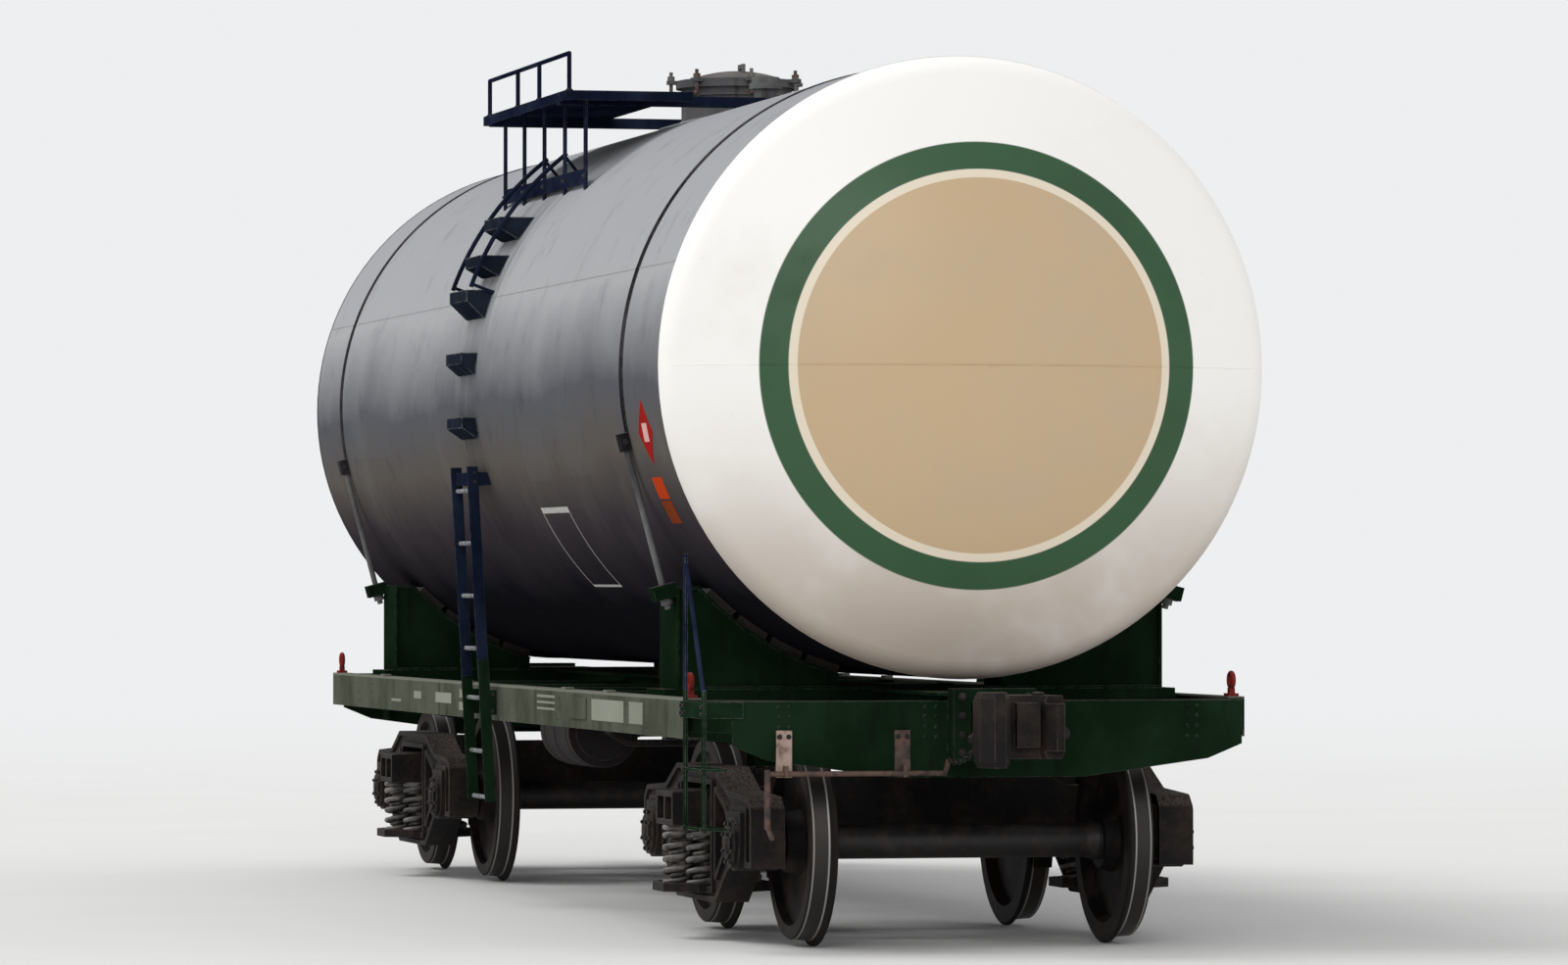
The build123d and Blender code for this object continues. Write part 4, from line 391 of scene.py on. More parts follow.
class Surface(Nodes):
    """A material with its shader and the textures that its paint needs."""

    def __init__(self, name, metallic=0.0, specular=0.5):
        self.material = bpy.data.materials.new(name)
        self.material.use_nodes = True
        super().__init__(self.material.node_tree)
        self.shader = self.tree.nodes["Principled BSDF"]
        self.shader.inputs["Metallic"].default_value = metallic
        self.put_specular(specular)
        self.here = self.node("TexCoord").outputs["Object"]
        self.last_bump = None

    def put_specular(self, value):
        self.put(self.shader.inputs["Specular IOR Level"], value)

    def split(self):
        made = self.node("SeparateXYZ", {0: self.here})
        return made.outputs[0], made.outputs[1], made.outputs[2]

    def noise(self, scale, detail=4.0, rough=0.6, stretch=(1, 1, 1), shift=(0, 0, 0)):
        """Noise from 0 to 1 in the model's own coordinates."""
        where = self.node("Mapping", {"Vector": self.here, "Scale": stretch, "Location": shift})
        values = {"Vector": where.outputs[0], "Scale": scale, "Detail": detail, "Roughness": rough}
        return self.node("TexNoise", values).outputs["Fac"]

    def ramp(self, value, tones):
        """A colour by height, from pairs of a height between -1 and 1 and its colour."""
        share = self.between(value, -1.0, 1.0, smooth=False)
        made = self.node("ValToRGB", {0: share})
        stops = made.color_ramp.elements
        while len(stops) < len(tones):
            stops.new(0.5)
        for stop, (height, tone) in zip(stops, tones):
            stop.position = (height + 1) / 2
            stop.color = tone
        return made.outputs[0]

    def facing_up(self):
        normal = self.node("NewGeometry").outputs["Normal"]
        return self.node("SeparateXYZ", {0: normal}).outputs[2]

    def edges(self, radius):
        """1 along sharp edges, for paint worn through."""
        rounded = self.node("Bevel", {"Radius": radius}, samples=4).outputs[0]
        flat = self.node("NewGeometry").outputs["Normal"]
        alike = self.node("VectorMath", {0: rounded, 1: flat}, operation="DOT_PRODUCT")
        return self.between(alike.outputs["Value"], 0.985, 0.86)

    def bump(self, height, strength, distance):
        values = {"Height": height, "Strength": strength, "Distance": distance}
        if self.last_bump is not None:
            values["Normal"] = self.last_bump
        self.last_bump = self.node("Bump", values).outputs[0]

    def soft_edges(self, radius):
        """Rounds the look of sharp plate edges."""
        self.last_bump = self.node("Bevel", {"Radius": radius}, samples=4).outputs[0]

    def finish(self, base, rough):
        self.put(self.shader.inputs["Base Color"], base)
        self.put(self.shader.inputs["Roughness"], rough)
        if self.last_bump is not None:
            self.put(self.shader.inputs["Normal"], self.last_bump)
        return self.material


# Materials

# Where the barrel's tones stand, from -1 at its lowest line to 1 at its crest. They are painted light:
# painted shade and a painted ground reflection low down, grime with a painted reflection in the low band, a
# painted horizon reflection near the middle and a painted sky reflection above
BARREL_TONES = [
    (-0.75, BARREL_FOOT_SHADE),
    (-0.5, BARREL_LOW_SHADE),
    (-0.28, BARREL_GRIME_AND_REFLECTION),
    (-0.05, BARREL_HORIZON_REFLECTION),
    (0.3, BARREL_SKY_REFLECTION),
    (0.95, BARREL_CREST_REFLECTION),
]
DISC_RADIUS = 0.945
DISC_RIM = 0.04
RING_RADIUS = 1.08


def shell_paint():
    """The barrel's slate grey with painted shade and painted reflections by height, the white heads with
    their ring and disc and painted shade low down, and the plain outlines.
    """
    s = Surface("shell_paint")
    x, y, z = s.split()
    far = s.size(x)
    above = s.less(z, TANK_Z)
    radius = s.distance(y, above)
    height = s.times(above, 1 / TANK_RADIUS)
    streaks = s.noise(2.2, stretch=(0.6, 0.5, 0.5))
    fine_streaks = s.noise(6.0, 4.0, 0.65, stretch=(0.7, 0.6, 0.6), shift=(3, 1, 2))
    clouds = s.noise(0.9, shift=(5, 2, 7))
    specks = s.noise(60.0, 3.0, 0.7)
    wander = s.times(s.less(s.blend_value(0.4, clouds, streaks), 0.5), 0.3)
    # Painted shade below and painted reflections of the ground, horizon and sky, set by height
    barrel = s.ramp(s.math("ADD", height, wander), BARREL_TONES)
    runs = s.times(s.between(streaks, 0.5, 0.78), s.band(height, -0.5, 0.9, 0.2))
    barrel = s.cover(barrel, SLATE_RUN, runs, 0.12)
    barrel = s.cover(barrel, SLATE_SOILED, s.between(fine_streaks, 0.54, 0.78), 0.2)
    barrel = s.cover(barrel, SLATE_RUN, step_runs(s, far, height), 0.22)
    barrel = s.cover(barrel, SLATE_SOILED, spill_runs(s, far, height), 0.38)
    barrel = s.cover(barrel, DUST, s.between(specks, 0.65, 0.72), 0.35)
    turned = s.times(x, s.math("SIGN", s.times(y, -1.0)))
    fresh = s.times(fresh_patches(s, turned, height), s.between(specks, 0.1, 0.4))
    barrel = s.cover(barrel, SLATE_FRESH, fresh, 0.1)
    outline = outline_mask(s, turned, height)
    barrel = s.cover(barrel, LINE_WHITE, s.times(outline, s.between(specks, 0.25, 0.45)), 0.8)
    white = s.cover(HEAD_WHITE, HEAD_SOIL_AND_SHADE, s.between(streaks, 0.5, 0.8), 0.18)
    # Painted shade: the white head darker towards its foot, in blotches that also stand for grime
    low_shade_and_grime = s.times(s.between(height, 0.0, -0.9), s.between(clouds, 0.1, 0.55))
    white = s.cover(white, HEAD_SOIL_AND_SHADE, low_shade_and_grime, 0.9)
    white = s.cover(white, CAST_RUST, s.between(specks, 0.7, 0.78), 0.35)
    ring = s.cover(RING_GREEN, RING_DARK, s.between(streaks, 0.45, 0.75), 0.5)
    disc = s.cover(DISC_TAN, HEAD_SOIL_AND_SHADE, s.between(streaks, 0.45, 0.75), 0.35)
    disc = s.blend(s.band(radius, DISC_RADIUS - DISC_RIM, DISC_RADIUS), disc, DISC_EDGE)
    head = s.blend(s.band(radius, DISC_RADIUS, RING_RADIUS, 0.004), white, ring)
    head = s.blend(s.between(radius, DISC_RADIUS + 0.004, DISC_RADIUS - 0.004), head, disc)
    base = s.blend(s.between(far, TANK_END - 0.001, TANK_END + 0.001), barrel, head)
    base = s.cover(base, SEAM_DARK, s.band(far, TANK_END - 0.012, TANK_END + 0.002, 0.001), 0.8)
    s.put_specular(s.times(s.between(far, TANK_END - 0.01, TANK_END + 0.01), 0.3))
    rough = s.blend_value(clouds, 0.26, 0.42)
    rough = s.blend_value(s.between(streaks, 0.5, 0.75), rough, 0.5)
    rough = s.blend_value(s.between(height, -0.1, -0.6), rough, 0.55)
    s.bump(s.noise(1.3, 2.0, 0.4, stretch=(0.8, 1, 1)), 0.35, 0.012)
    s.bump(s.noise(140.0, 2.0, 0.5), 0.08, 0.001)
    return s.finish(base, rough)


STEP_RUN_HALF = 0.23


def step_runs(s, far, height):
    """Pale runs that the rain washes down below the steps."""
    threads = s.noise(30.0, 3.0, 0.6, stretch=(2.0, 0.05, 0.05), shift=(1, 6, 2))
    middle = s.between(far, STEP_RUN_HALF + 0.07, STEP_RUN_HALF - 0.12)
    return s.times(s.times(middle, s.between(threads, 0.5, 0.68)), s.band(height, -0.3, 0.4, 0.15))


def spill_runs(s, far, height):
    """Dark runs of spilt load, from the hatch down past the upper steps."""
    threads = s.noise(7.0, 4.0, 0.65, stretch=(1.5, 0.1, 0.1), shift=(2, 3, 9))
    middle = s.times(s.between(far, 0.75, 0.2), s.between(height, -0.05, 0.55))
    return s.times(middle, s.between(threads, 0.36, 0.66))


# Blank patches where fresh paint covers old marks: two values of X, angle at the top and foot
FRESH_PATCHES = [
    (1.33, 1.92, -9.0, -19.8),
    (2.36, 2.96, -8.2, -19.2),
    (-3.8, -2.5, -1.3, -12.0),
    (4.16, 4.68, 7.0, 1.2),
]


def fresh_patches(s, turned, height):
    """1 on the blank patches."""
    whole = 0.0
    for start, end, top, foot in FRESH_PATCHES:
        level = s.band(height, sin(radians(foot)), sin(radians(top)), 0.001)
        whole = s.most(s.times(s.band(turned, start, end), level), whole)
    return whole


OUTLINE_X = (1.3, 2.0)
OUTLINE_ANGLES = (-25.5, -45.0)
OUTLINE_LINES = (0.012, 0.03)


def outline_mask(s, turned, height):
    """The bare painted frame low on the barrel, the same from both sides of the car."""
    top, foot = (sin(radians(a)) for a in OUTLINE_ANGLES)
    thin, thick = OUTLINE_LINES
    outer = s.times(s.band(turned, *OUTLINE_X), s.band(height, foot, top, 0.001))
    inner_x = s.band(turned, OUTLINE_X[0] + thin, OUTLINE_X[1] - thin)
    inner = s.times(inner_x, s.band(height, foot + thin / TANK_RADIUS, top - thick / TANK_RADIUS, 0.001))
    return s.math("SUBTRACT", outer, inner, clamp=True)


UPPER_RUNGS = (1.398, 1.685, 1.971, 2.258)
LOWER_RUNGS = (0.588, 0.838, 1.128)
RUNG_HALF = (0.228, 0.017)
RUNG_WORN = colour(150, 152, 154)


def paint(name, base, faded, worn=0.5, soil=CAST_DARK, soil_share=0.5, edge=0.004, lip_highlight=None, rungs=()):
    """Weathered paint on steel: fading, grime, dust on level faces and worn edges, and where asked a
    painted highlight along a lip.

    lip is a height and the colour of the painted highlight above it, and rungs are the heights of trodden
    rungs.
    """
    s = Surface(name, specular=0.0)
    s.soft_edges(0.003)
    clouds = s.noise(2.2)
    grain = s.noise(26.0, 4.0, 0.65)
    streaks = s.noise(5.0, stretch=(2.2, 2.2, 0.25))
    shade = s.cover(base, faded, s.between(clouds, 0.35, 0.7), 0.7)
    shade = s.cover(shade, soil, s.between(streaks, 0.52, 0.72), soil_share)
    level = s.between(s.facing_up(), 0.5, 0.95)
    shade = s.cover(shade, DUST, level, s.blend_value(grain, 0.18, 0.45))
    # Painted highlight: a paler band along the top of the lip
    if lip_highlight:
        height, highlight_colour = lip_highlight
        shade = s.cover(shade, highlight_colour, s.between(s.split()[2], height - 0.002, height + 0.002), 0.7)
    wear = s.times(s.edges(edge), s.between(grain, 0.38, 0.6))
    shade = s.cover(shade, WORN_EDGE, wear, worn)
    chips = s.between(s.noise(45.0, 3.0, 0.7, shift=(4, 4, 4)), 0.7, 0.74)
    shade = s.cover(shade, CAST_RUST, chips, 0.6)
    wide, high = RUNG_HALF
    for rung in rungs:
        x, _, z = s.split()
        trodden = s.times(s.band(z, rung - high, rung + high), s.between(grain, 0.3, 0.55))
        inside = s.between(s.size(x), wide + 0.002, wide - 0.03)
        shade = s.cover(shade, RUNG_WORN, s.times(trodden, inside), 0.8)
    rough = s.blend_value(grain, 0.38, 0.6)
    s.bump(s.noise(90.0, 3.0, 0.6), 0.15, 0.001)
    s.bump(clouds, 0.2, 0.006)
    return s.finish(shade, rough)


PAINT_SPLIT = (1.235, 1.25)


def split_paint():
    """The corner steps: navy above the frame and green below it."""
    s = Surface("corner_paint", specular=0.0)
    s.soft_edges(0.003)
    _, _, z = s.split()
    clouds = s.noise(2.6)
    grain = s.noise(30.0, 4.0, 0.65)
    green = s.blend(s.between(clouds, 0.35, 0.7), FRAME_GREEN, FRAME_GREEN_FADED)
    blue = s.blend(s.between(clouds, 0.35, 0.7), NAVY, NAVY_FADED)
    shade = s.blend(s.between(z, *PAINT_SPLIT), green, blue)
    shade = s.cover(shade, WORN_EDGE, s.edges(0.004), s.between(grain, 0.35, 0.6))
    chips = s.between(s.noise(45.0, 3.0, 0.7, shift=(4, 4, 4)), 0.68, 0.73)
    shade = s.cover(shade, CAST_RUST, chips, 0.6)
    s.bump(s.noise(90.0, 3.0, 0.6), 0.15, 0.001)
    return s.finish(shade, s.blend_value(grain, 0.36, 0.58))


def casting(name, base=CAST_DARK, coarse=1.0):
    """Sooty cast steel with rust, brake dust on top and bare, rubbed edges."""
    s = Surface(name, specular=0.15)
    s.soft_edges(0.006)
    clouds = s.noise(4.0, 5.0, 0.65)
    grain = s.noise(70.0, 3.0, 0.7)
    pits = s.noise(24.0, 4.0, 0.7, shift=(3, 8, 1))
    shade = s.blend(s.between(clouds, 0.42, 0.66), base, CAST_RUST)
    shade = s.cover(shade, CAST_DARK, s.between(pits, 0.5, 0.68), 0.5)
    level = s.times(s.between(s.facing_up(), 0.35, 0.95), s.between(grain, 0.3, 0.65))
    shade = s.cover(shade, DUST, level, 0.75)
    rubbed = s.times(s.edges(0.008), s.between(pits, 0.35, 0.6))
    shade = s.cover(shade, DUST, rubbed, 0.55)
    s.bump(grain, 0.35 * coarse, 0.002)
    s.bump(pits, 0.4 * coarse, 0.004)
    return s.finish(shade, s.blend_value(pits, 0.55, 0.85))


def spring_steel():
    """Coils, dark with grime, rubbed bright in patches, and with a painted highlight on the turns' upper
    faces.
    """
    s = Surface("spring_steel", specular=0.6)
    clouds = s.noise(9.0)
    grain = s.noise(90.0, 3.0, 0.6)
    shade = s.blend(s.between(clouds, 0.4, 0.65), SPRING_DARK, SPRING_RUBBED_AND_HIGHLIGHT)
    # Painted highlight: the turns' upper faces lighter, as if lit from above
    shade = s.cover(shade, SPRING_RUBBED_AND_HIGHLIGHT, s.between(s.facing_up(), 0.1, 0.8), 0.7)
    shade = s.blend(s.between(grain, 0.58, 0.75), shade, CAST_RUST)
    s.bump(grain, 0.3, 0.001)
    return s.finish(shade, s.blend_value(clouds, 0.4, 0.65))


RIM_RADIUS = 0.403
TREAD_EDGE = 0.468
RUNNING_BAND = (0.760, 0.836)


def wheel_steel(axle_x):
    """Rolled steel: a bright running band with painted glints along its edges, rubbed flange, brown rim and
    dark web.
    """
    s = Surface(f"wheel_steel_{AXLE_X.index(axle_x) + 1}", specular=0.1)
    x, y, z = s.split()
    along = s.less(x, axle_x)
    above = s.less(z, AXLE_Z)
    radius = s.distance(along, above)
    out = s.size(y)
    clouds = s.noise(5.0)
    grain = s.noise(60.0, 3.0, 0.7)
    web = s.blend(s.between(clouds, 0.42, 0.68), WHEEL_DARK, CAST_RUST)
    rim = s.blend(s.between(clouds, 0.4, 0.7), WHEEL_BROWN, CAST_RUST)
    shade = s.blend(s.between(radius, RIM_RADIUS - 0.008, RIM_RADIUS + 0.008), web, rim)
    shade = s.cover(shade, WHEEL_DARK, s.between(grain, 0.55, 0.7), 0.5)
    outer = s.between(radius, TREAD_EDGE - 0.002, TREAD_EDGE + 0.003)
    shade = s.cover(shade, TREAD_DULL, outer, 0.85)
    worn = s.times(outer, s.band(out, *RUNNING_BAND, 0.004))
    shade = s.blend(worn, shade, TREAD_STEEL)
    # Painted glints: narrow bright lines along both edges of the running band
    start, end = RUNNING_BAND
    glint_lines = s.most(s.band(out, start - 0.003, start + 0.005), s.band(out, end - 0.004, end + 0.004))
    shade = s.cover(shade, TREAD_GLINT, glint_lines, s.times(outer, 0.8))
    s.put(s.shader.inputs["Metallic"], s.times(worn, 0.7))
    rough = s.blend_value(worn, 0.62, s.blend_value(clouds, 0.3, 0.5))
    s.bump(grain, 0.2, 0.001)
    return s.finish(shade, rough)


def timber():
    """Old oiled blocks with the grain along the car."""
    s = Surface("timber")
    grain = s.noise(14.0, 6.0, 0.65, stretch=(0.5, 9.0, 9.0))
    clouds = s.noise(6.0, 3.0, 0.6)
    shade = s.blend(s.between(grain, 0.35, 0.7), TIMBER_DARK, TIMBER_LIGHT)
    shade = s.cover(shade, CAST_DARK, s.between(clouds, 0.45, 0.7), 0.6)
    s.bump(grain, 0.6, 0.003)
    return s.finish(shade, s.blend_value(clouds, 0.6, 0.85))


def bare_steel(name="bare_steel", base=BARE_STEEL, rust=BARE_RUST, metallic=0.6):
    """Bolts and rods, dull with rust in the hollows."""
    s = Surface(name, metallic=metallic)
    clouds = s.noise(12.0, 4.0, 0.65)
    grain = s.noise(110.0, 3.0, 0.6)
    shade = s.blend(s.between(clouds, 0.45, 0.7), base, rust)
    s.bump(grain, 0.25, 0.001)
    return s.finish(shade, s.blend_value(clouds, 0.35, 0.7))


def sheet_paint(name, base, soiled):
    """A thin blank plate, faded softly and evenly."""
    s = Surface(name, specular=0.0)
    clouds = s.noise(1.7, 2.0, 0.5)
    grain = s.noise(120.0, 3.0, 0.6)
    shade = s.cover(base, soiled, s.between(clouds, 0.3, 0.7), 0.3)
    s.bump(grain, 0.15, 0.0006)
    return s.finish(shade, s.blend_value(clouds, 0.3, 0.5))


PLACARD_X = 4.46
PLACARD_ANGLE = -12.0
PLACARD_HALF = 0.158
PLACARD_PATCH = (0.055, 0.045)


def placard_paint():
    """The red diamond with its pale blank middle."""
    s = Surface("placard_paint", specular=0.0)
    x, _, z = s.split()
    along = s.size(s.less(s.size(x), PLACARD_X))
    level = TANK_Z + TANK_RADIUS * sin(radians(PLACARD_ANGLE))
    above = s.size(s.less(z, level))
    wide, high = PLACARD_PATCH
    inside = s.between(along, wide + 0.003, wide - 0.003)
    patch = s.times(inside, s.between(above, high + 0.003, high - 0.003))
    clouds = s.noise(1.7, 2.0, 0.5)
    shade = s.cover(PLACARD_RED, SLATE_SOILED, s.between(clouds, 0.3, 0.7), 0.3)
    shade = s.blend(patch, shade, PLACARD_PALE)
    return s.finish(shade, s.blend_value(clouds, 0.32, 0.5))


BRACKET_BAND = (0.965, 1.055)


def lever_paint():
    """The uncoupling levers' steel, with the pale paint of their outer brackets."""
    s = Surface("lever_paint")
    x, y, _ = s.split()
    clouds = s.noise(12.0, 4.0, 0.65)
    grain = s.noise(90.0, 3.0, 0.6)
    steel = s.blend(s.between(clouds, 0.4, 0.7), BARE_RUST, CAST_DARK)
    pink = s.blend(s.between(clouds, 0.45, 0.75), BRACKET_PINK, BARE_RUST)
    near = s.between(s.size(x), HALF_FRAME + 0.03, HALF_FRAME + 0.02)
    bracket = s.times(s.band(s.size(y), *BRACKET_BAND), near)
    shade = s.blend(bracket, steel, pink)
    s.bump(grain, 0.25, 0.001)
    return s.finish(shade, s.blend_value(clouds, 0.45, 0.7))


MATERIALS = {
    "shell": shell_paint(),
    "green": paint("frame_green", FRAME_GREEN, FRAME_GREEN_FADED),
    # The sills carry a painted highlight along their top lip
    "sill": paint("sill_grey", SILL_OLIVE, SILL_OLIVE_SOILED, soil=SILL_OLIVE_SOILED, soil_share=0.7,
                  lip_highlight=(SILL_HIGH.z - 0.012, SILL_LIP_HIGHLIGHT)),
    "navy": paint("dark_blue", NAVY, NAVY_FADED, soil_share=0.35),
    "step": paint("step_blue", STEP_BLUE, STEP_BLUE_FADED, worn=0.9, soil_share=0.35, edge=0.011),
    "ladder": paint("ladder_blue", NAVY, NAVY_FADED, soil_share=0.3, rungs=UPPER_RUNGS),
    "low_ladder": paint("ladder_green", FRAME_GREEN, FRAME_GREEN_FADED, rungs=LOWER_RUNGS),
    "corner": split_paint(),
    "rod": paint("rod_grey", ROD_GREY, WORN_EDGE),
    "strap": paint("strap_black", STRAP_BLACK, STRAP_WORN, worn=0.8),
    "red": paint("cleat_red", CLEAT_RED, CLEAT_FADED, soil_share=0.35),
    "timber": timber(),
    "casting": casting("running_gear"),
    "spring": spring_steel(),
    "coupler": casting("coupler_steel", coarse=0.8),
    "brake": casting("brake_black", base=SLATE_SOILED, coarse=0.5),
    "lever": lever_paint(),
    "stencil": sheet_paint("blank_stencil", PLATE_WHITE, SILL_OLIVE),
    "steel": bare_steel(),
    "bolts": bare_steel("dark_bolts", base=CAST_DARK, rust=CAST_RUST, metallic=0.3),
    "orange": sheet_paint("plate_orange", PLATE_ORANGE, PLATE_ORANGE_DULL),
    "orange_dull": sheet_paint("plate_orange_dull", PLATE_ORANGE_DULL, CAST_RUST),
    "placard": placard_paint(),
}

NODE_MATERIALS = {
    "shell": ["tank_shell"],
    "green": [
        "center_sill", "body_bolster_front", "body_bolster_rear", "end_beam_front", "end_beam_rear",
        "cross_beams", "saddle_front", "saddle_rear", "anchor_feet",
    ],
    "low_ladder": ["lower_ladders"],
    "ladder": ["upper_ladders"],
    "sill": ["side_sills"],
    "navy": ["platform_decks", "platform_beams", "platform_posts", "platform_rails", "tank_handrails"],
    "step": ["tank_steps"],
    "corner": ["corner_steps"],
    "rod": ["strap_rods", "manway_neck", "hatch_lid", "relief_valve"],
    "strap": ["tank_straps"],
    "red": ["tow_cleats"],
    "timber": ["saddle_blocks"],
    "brake": ["brake_cylinder", "brake_reservoir", "brake_pipe", "brake_rods", "drain_valve", "drain_cap"],
    "coupler": ["coupler_front", "coupler_rear"],
    "steel": ["lid_bolts"],
    "lever": ["uncoupling_levers"],
}
BOGIE_NODES = ["side_frames", "bogie_bolster", "friction_wedges", "axle_boxes", "brake_beams"]


def dress(node, material):
    """Gives a node of the model its material."""
    slots = NODES[node].data.materials
    slots.clear()
    slots.append(material)


def dress_nodes():
    """Gives every node of the model its material."""
    for name, nodes in NODE_MATERIALS.items():
        for node in nodes:
            dress(node, MATERIALS[name])
    for end in ("front", "rear"):
        for node in BOGIE_NODES:
            dress(f"{node}_{end}", MATERIALS["casting"])
        dress(f"springs_{end}", MATERIALS["spring"])
    for number, axle_x in enumerate(AXLE_X, 1):
        dress(f"wheels_{number}", wheel_steel(axle_x))
        dress(f"axle_{number}", MATERIALS["bolts"])


# Tank

def weld_seams():
    """Weld beads along the barrel, round its ends and across the heads."""
    beads = Shape()
    length = np.linspace(-TANK_END, TANK_END, 40)
    for side in BOTH:
        for angle in (SHELL_SEAM_ANGLE, LOWER_SEAM_ANGLE):
            tube(beads, [shell_point(x, angle, side) for x in length], SEAM_RADIUS, 6)
        circle = [shell_point(side * TANK_END, a, 1) for a in range(0, 360, 3)]
        tube(beads, circle, SEAM_RADIUS, 6, closed=True)
        span = np.linspace(-TANK_RADIUS, TANK_RADIUS, 61) * 0.999
        tube(beads, [(side * head_reach(abs(y)), y, TANK_Z) for y in span], SEAM_RADIUS, 6)
    beads.make("weld_seams", "shell", "tank_grey", sharp=60)


PLATE_LIFT = 0.0022
PLATE_STEPS = 8


def shell_plate(name, material, place):
    """Thin plates that follow the barrel, one on each side of the car.

    place turns two shares from 0 to 1 into a distance along X and an angle.
    """
    plate = Shape()
    n = PLATE_STEPS + 1
    outer = grid(n, n, False)
    faces = outer + [tuple(n * n + i for i in face) for face in outer]
    rim = [(0, j) for j in range(n)] + [(i, n - 1) for i in range(1, n)]
    rim += [(n - 1, j) for j in range(n - 2, -1, -1)] + [(i, 0) for i in range(n - 2, 0, -1)]
    edge = [i * n + j for i, j in rim]
    for a, b in zip(edge, edge[1:] + edge[:1]):
        faces.append((a, b, n * n + b, n * n + a))
    for side in BOTH:
        points = []
        for lift, i, j in product((PLATE_LIFT, 0.0), range(n), range(n)):
            x, angle = place(i / PLATE_STEPS, j / PLATE_STEPS)
            points.append(shell_point(-side * x, angle, side, lift))
        plate.add(points, faces)
    plate.make(name, material)


ORANGE_X = (4.31, 4.53)
ORANGE_ANGLES = {"orange": (-20.6, -24.9), "orange_dull": (-25.3, -30.0)}


def placards():
    """The blank diamond and the two blank orange plates, near the front on one side and opposite."""
    half_angle = PLACARD_HALF / TANK_RADIUS * 180 / pi

    def diamond(u, v):
        return PLACARD_X + (u - v) * PLACARD_HALF, PLACARD_ANGLE + (u + v - 1) * half_angle

    shell_plate("diamond_placards", "placard", diamond)
    for name, (top, foot) in ORANGE_ANGLES.items():

        def oblong(u, v, top=top, foot=foot):
            return ORANGE_X[0] + u * (ORANGE_X[1] - ORANGE_X[0]), top + v * (foot - top)

        shell_plate(f"{name}_plates", name, oblong)


# Bogies

SPRING_FOOT = RAIL + 0.235
SPRING_HEAD = RAIL + 0.535
SPRING_PITCH = 0.172
SPRING_WIRES = [
    {"outer": 0.081, "wire": 0.0145, "turns": 6.2, "steps": 22, "sides": 8},
    {"outer": 0.048, "wire": 0.0095, "turns": 9.0, "steps": 14, "sides": 6},
]


def coil(shape, x, y, outer, wire, turns, steps, sides):
    """One coil spring with its ends closed flat."""
    mean = outer - wire
    count = int(turns * steps)
    low, high = SPRING_FOOT + wire, SPRING_HEAD - wire
    dead = 0.8
    path = []
    for i in range(count + 1):
        t = i / steps
        rise = min(max((t - dead) / (turns - 2 * dead), 0.0), 1.0)
        ease = 0.35 * wire * (min(t, dead) - min(turns - t, dead)) / dead
        z = low + (high - low) * rise + (ease if 0 < rise < 1 else 0.0)
        path.append((x + mean * cos(tau * t), y + mean * sin(tau * t), min(max(z, low), high)))
    tube(shape, path, wire, sides)


def spring_centres():
    """The nest in rows of two, three and two springs across the bogie."""
    row = SPRING_PITCH * sin(radians(60))
    places = []
    for count, along in ((2, -row), (3, 0.0), (2, row)):
        for index in range(count):
            places.append((along, (index - (count - 1) / 2) * SPRING_PITCH))
    return places


def spring_coils():
    """The coil springs of both bogies, an outer and an inner one at each place."""
    for end, sign in ENDS:
        coils = Shape()
        for side, (dx, dy), wire in product(BOTH, spring_centres(), SPRING_WIRES):
            coil(coils, sign * BOGIE_X + dx, side * (JOURNAL_Y + dy), **wire)
        piece = coils.make(f"spring_coils_{end}", "spring", "spring_steel", f"bogie_{end}", sharp=60)
        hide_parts(f"springs_{end}")


COVER_FACE = 1.145
COVER_CIRCLE = 0.1
CAP_FACE = 1.161
CAP_CIRCLE = 0.058
CAP_BOSS = [(0, 0.008), (0.03, 0.008), (0.036, 0)]


def axle_box_details():
    """Bolted covers and end caps of the axle boxes."""
    for end, sign in ENDS:
        bolts, rims = Shape(), Shape()
        for way, side in product(BOTH, BOTH):
            x = sign * BOGIE_X + way * HALF_BASE
            axis = (0, side, 0)
            for spot in ring_places((x, side * COVER_FACE, AXLE_Z), axis, COVER_CIRCLE, 8, 22.5):
                bolt(bolts, spot, axis, 0.011, 0.012)
            cap = (x, side * CAP_FACE, AXLE_Z)
            for spot in ring_places(cap, axis, CAP_CIRCLE, 4, 45):
                bolt(bolts, spot, axis, 0.009, 0.01)
            lathe(rims, CAP_BOSS, cap, axis, 20)
        bolts.make(f"axle_box_bolts_{end}", "bolts", "running_gear", f"bogie_{end}")
        rims.make(f"axle_box_bosses_{end}", "casting", "running_gear", f"bogie_{end}")


FRAME_HALF = 0.085
RECESS_DEPTH = 0.022
RECESS_FACE = JOURNAL_Y + FRAME_HALF - RECESS_DEPTH
WEAR_RIVET_X = 0.38
WEAR_RIVET_Z = (0.42, 0.52, 0.62, 0.72)


def side_frame_rivets():
    """Rivets of the wear plates on the side frames' columns."""
    for end, sign in ENDS:
        rivets = Shape()
        for side, way, z in product(BOTH, BOTH, WEAR_RIVET_Z):
            place = (sign * BOGIE_X + way * WEAR_RIVET_X, side * RECESS_FACE, z)
            rivet(rivets, place, (0, side, 0), 0.013)
        rivets.make(f"wear_plate_rivets_{end}", "casting", "running_gear", f"bogie_{end}")


# Platform, hatch and ladders

LOZENGE_PITCH = 0.05
LOZENGE_MARGIN = 0.06
LOZENGE_SPARE = 0.08
LOZENGE_INNER = 0.535
LOZENGE_WIDTH = 0.64
LOZENGE = (0.018, 0.006)
LOZENGE_RISE = 0.003


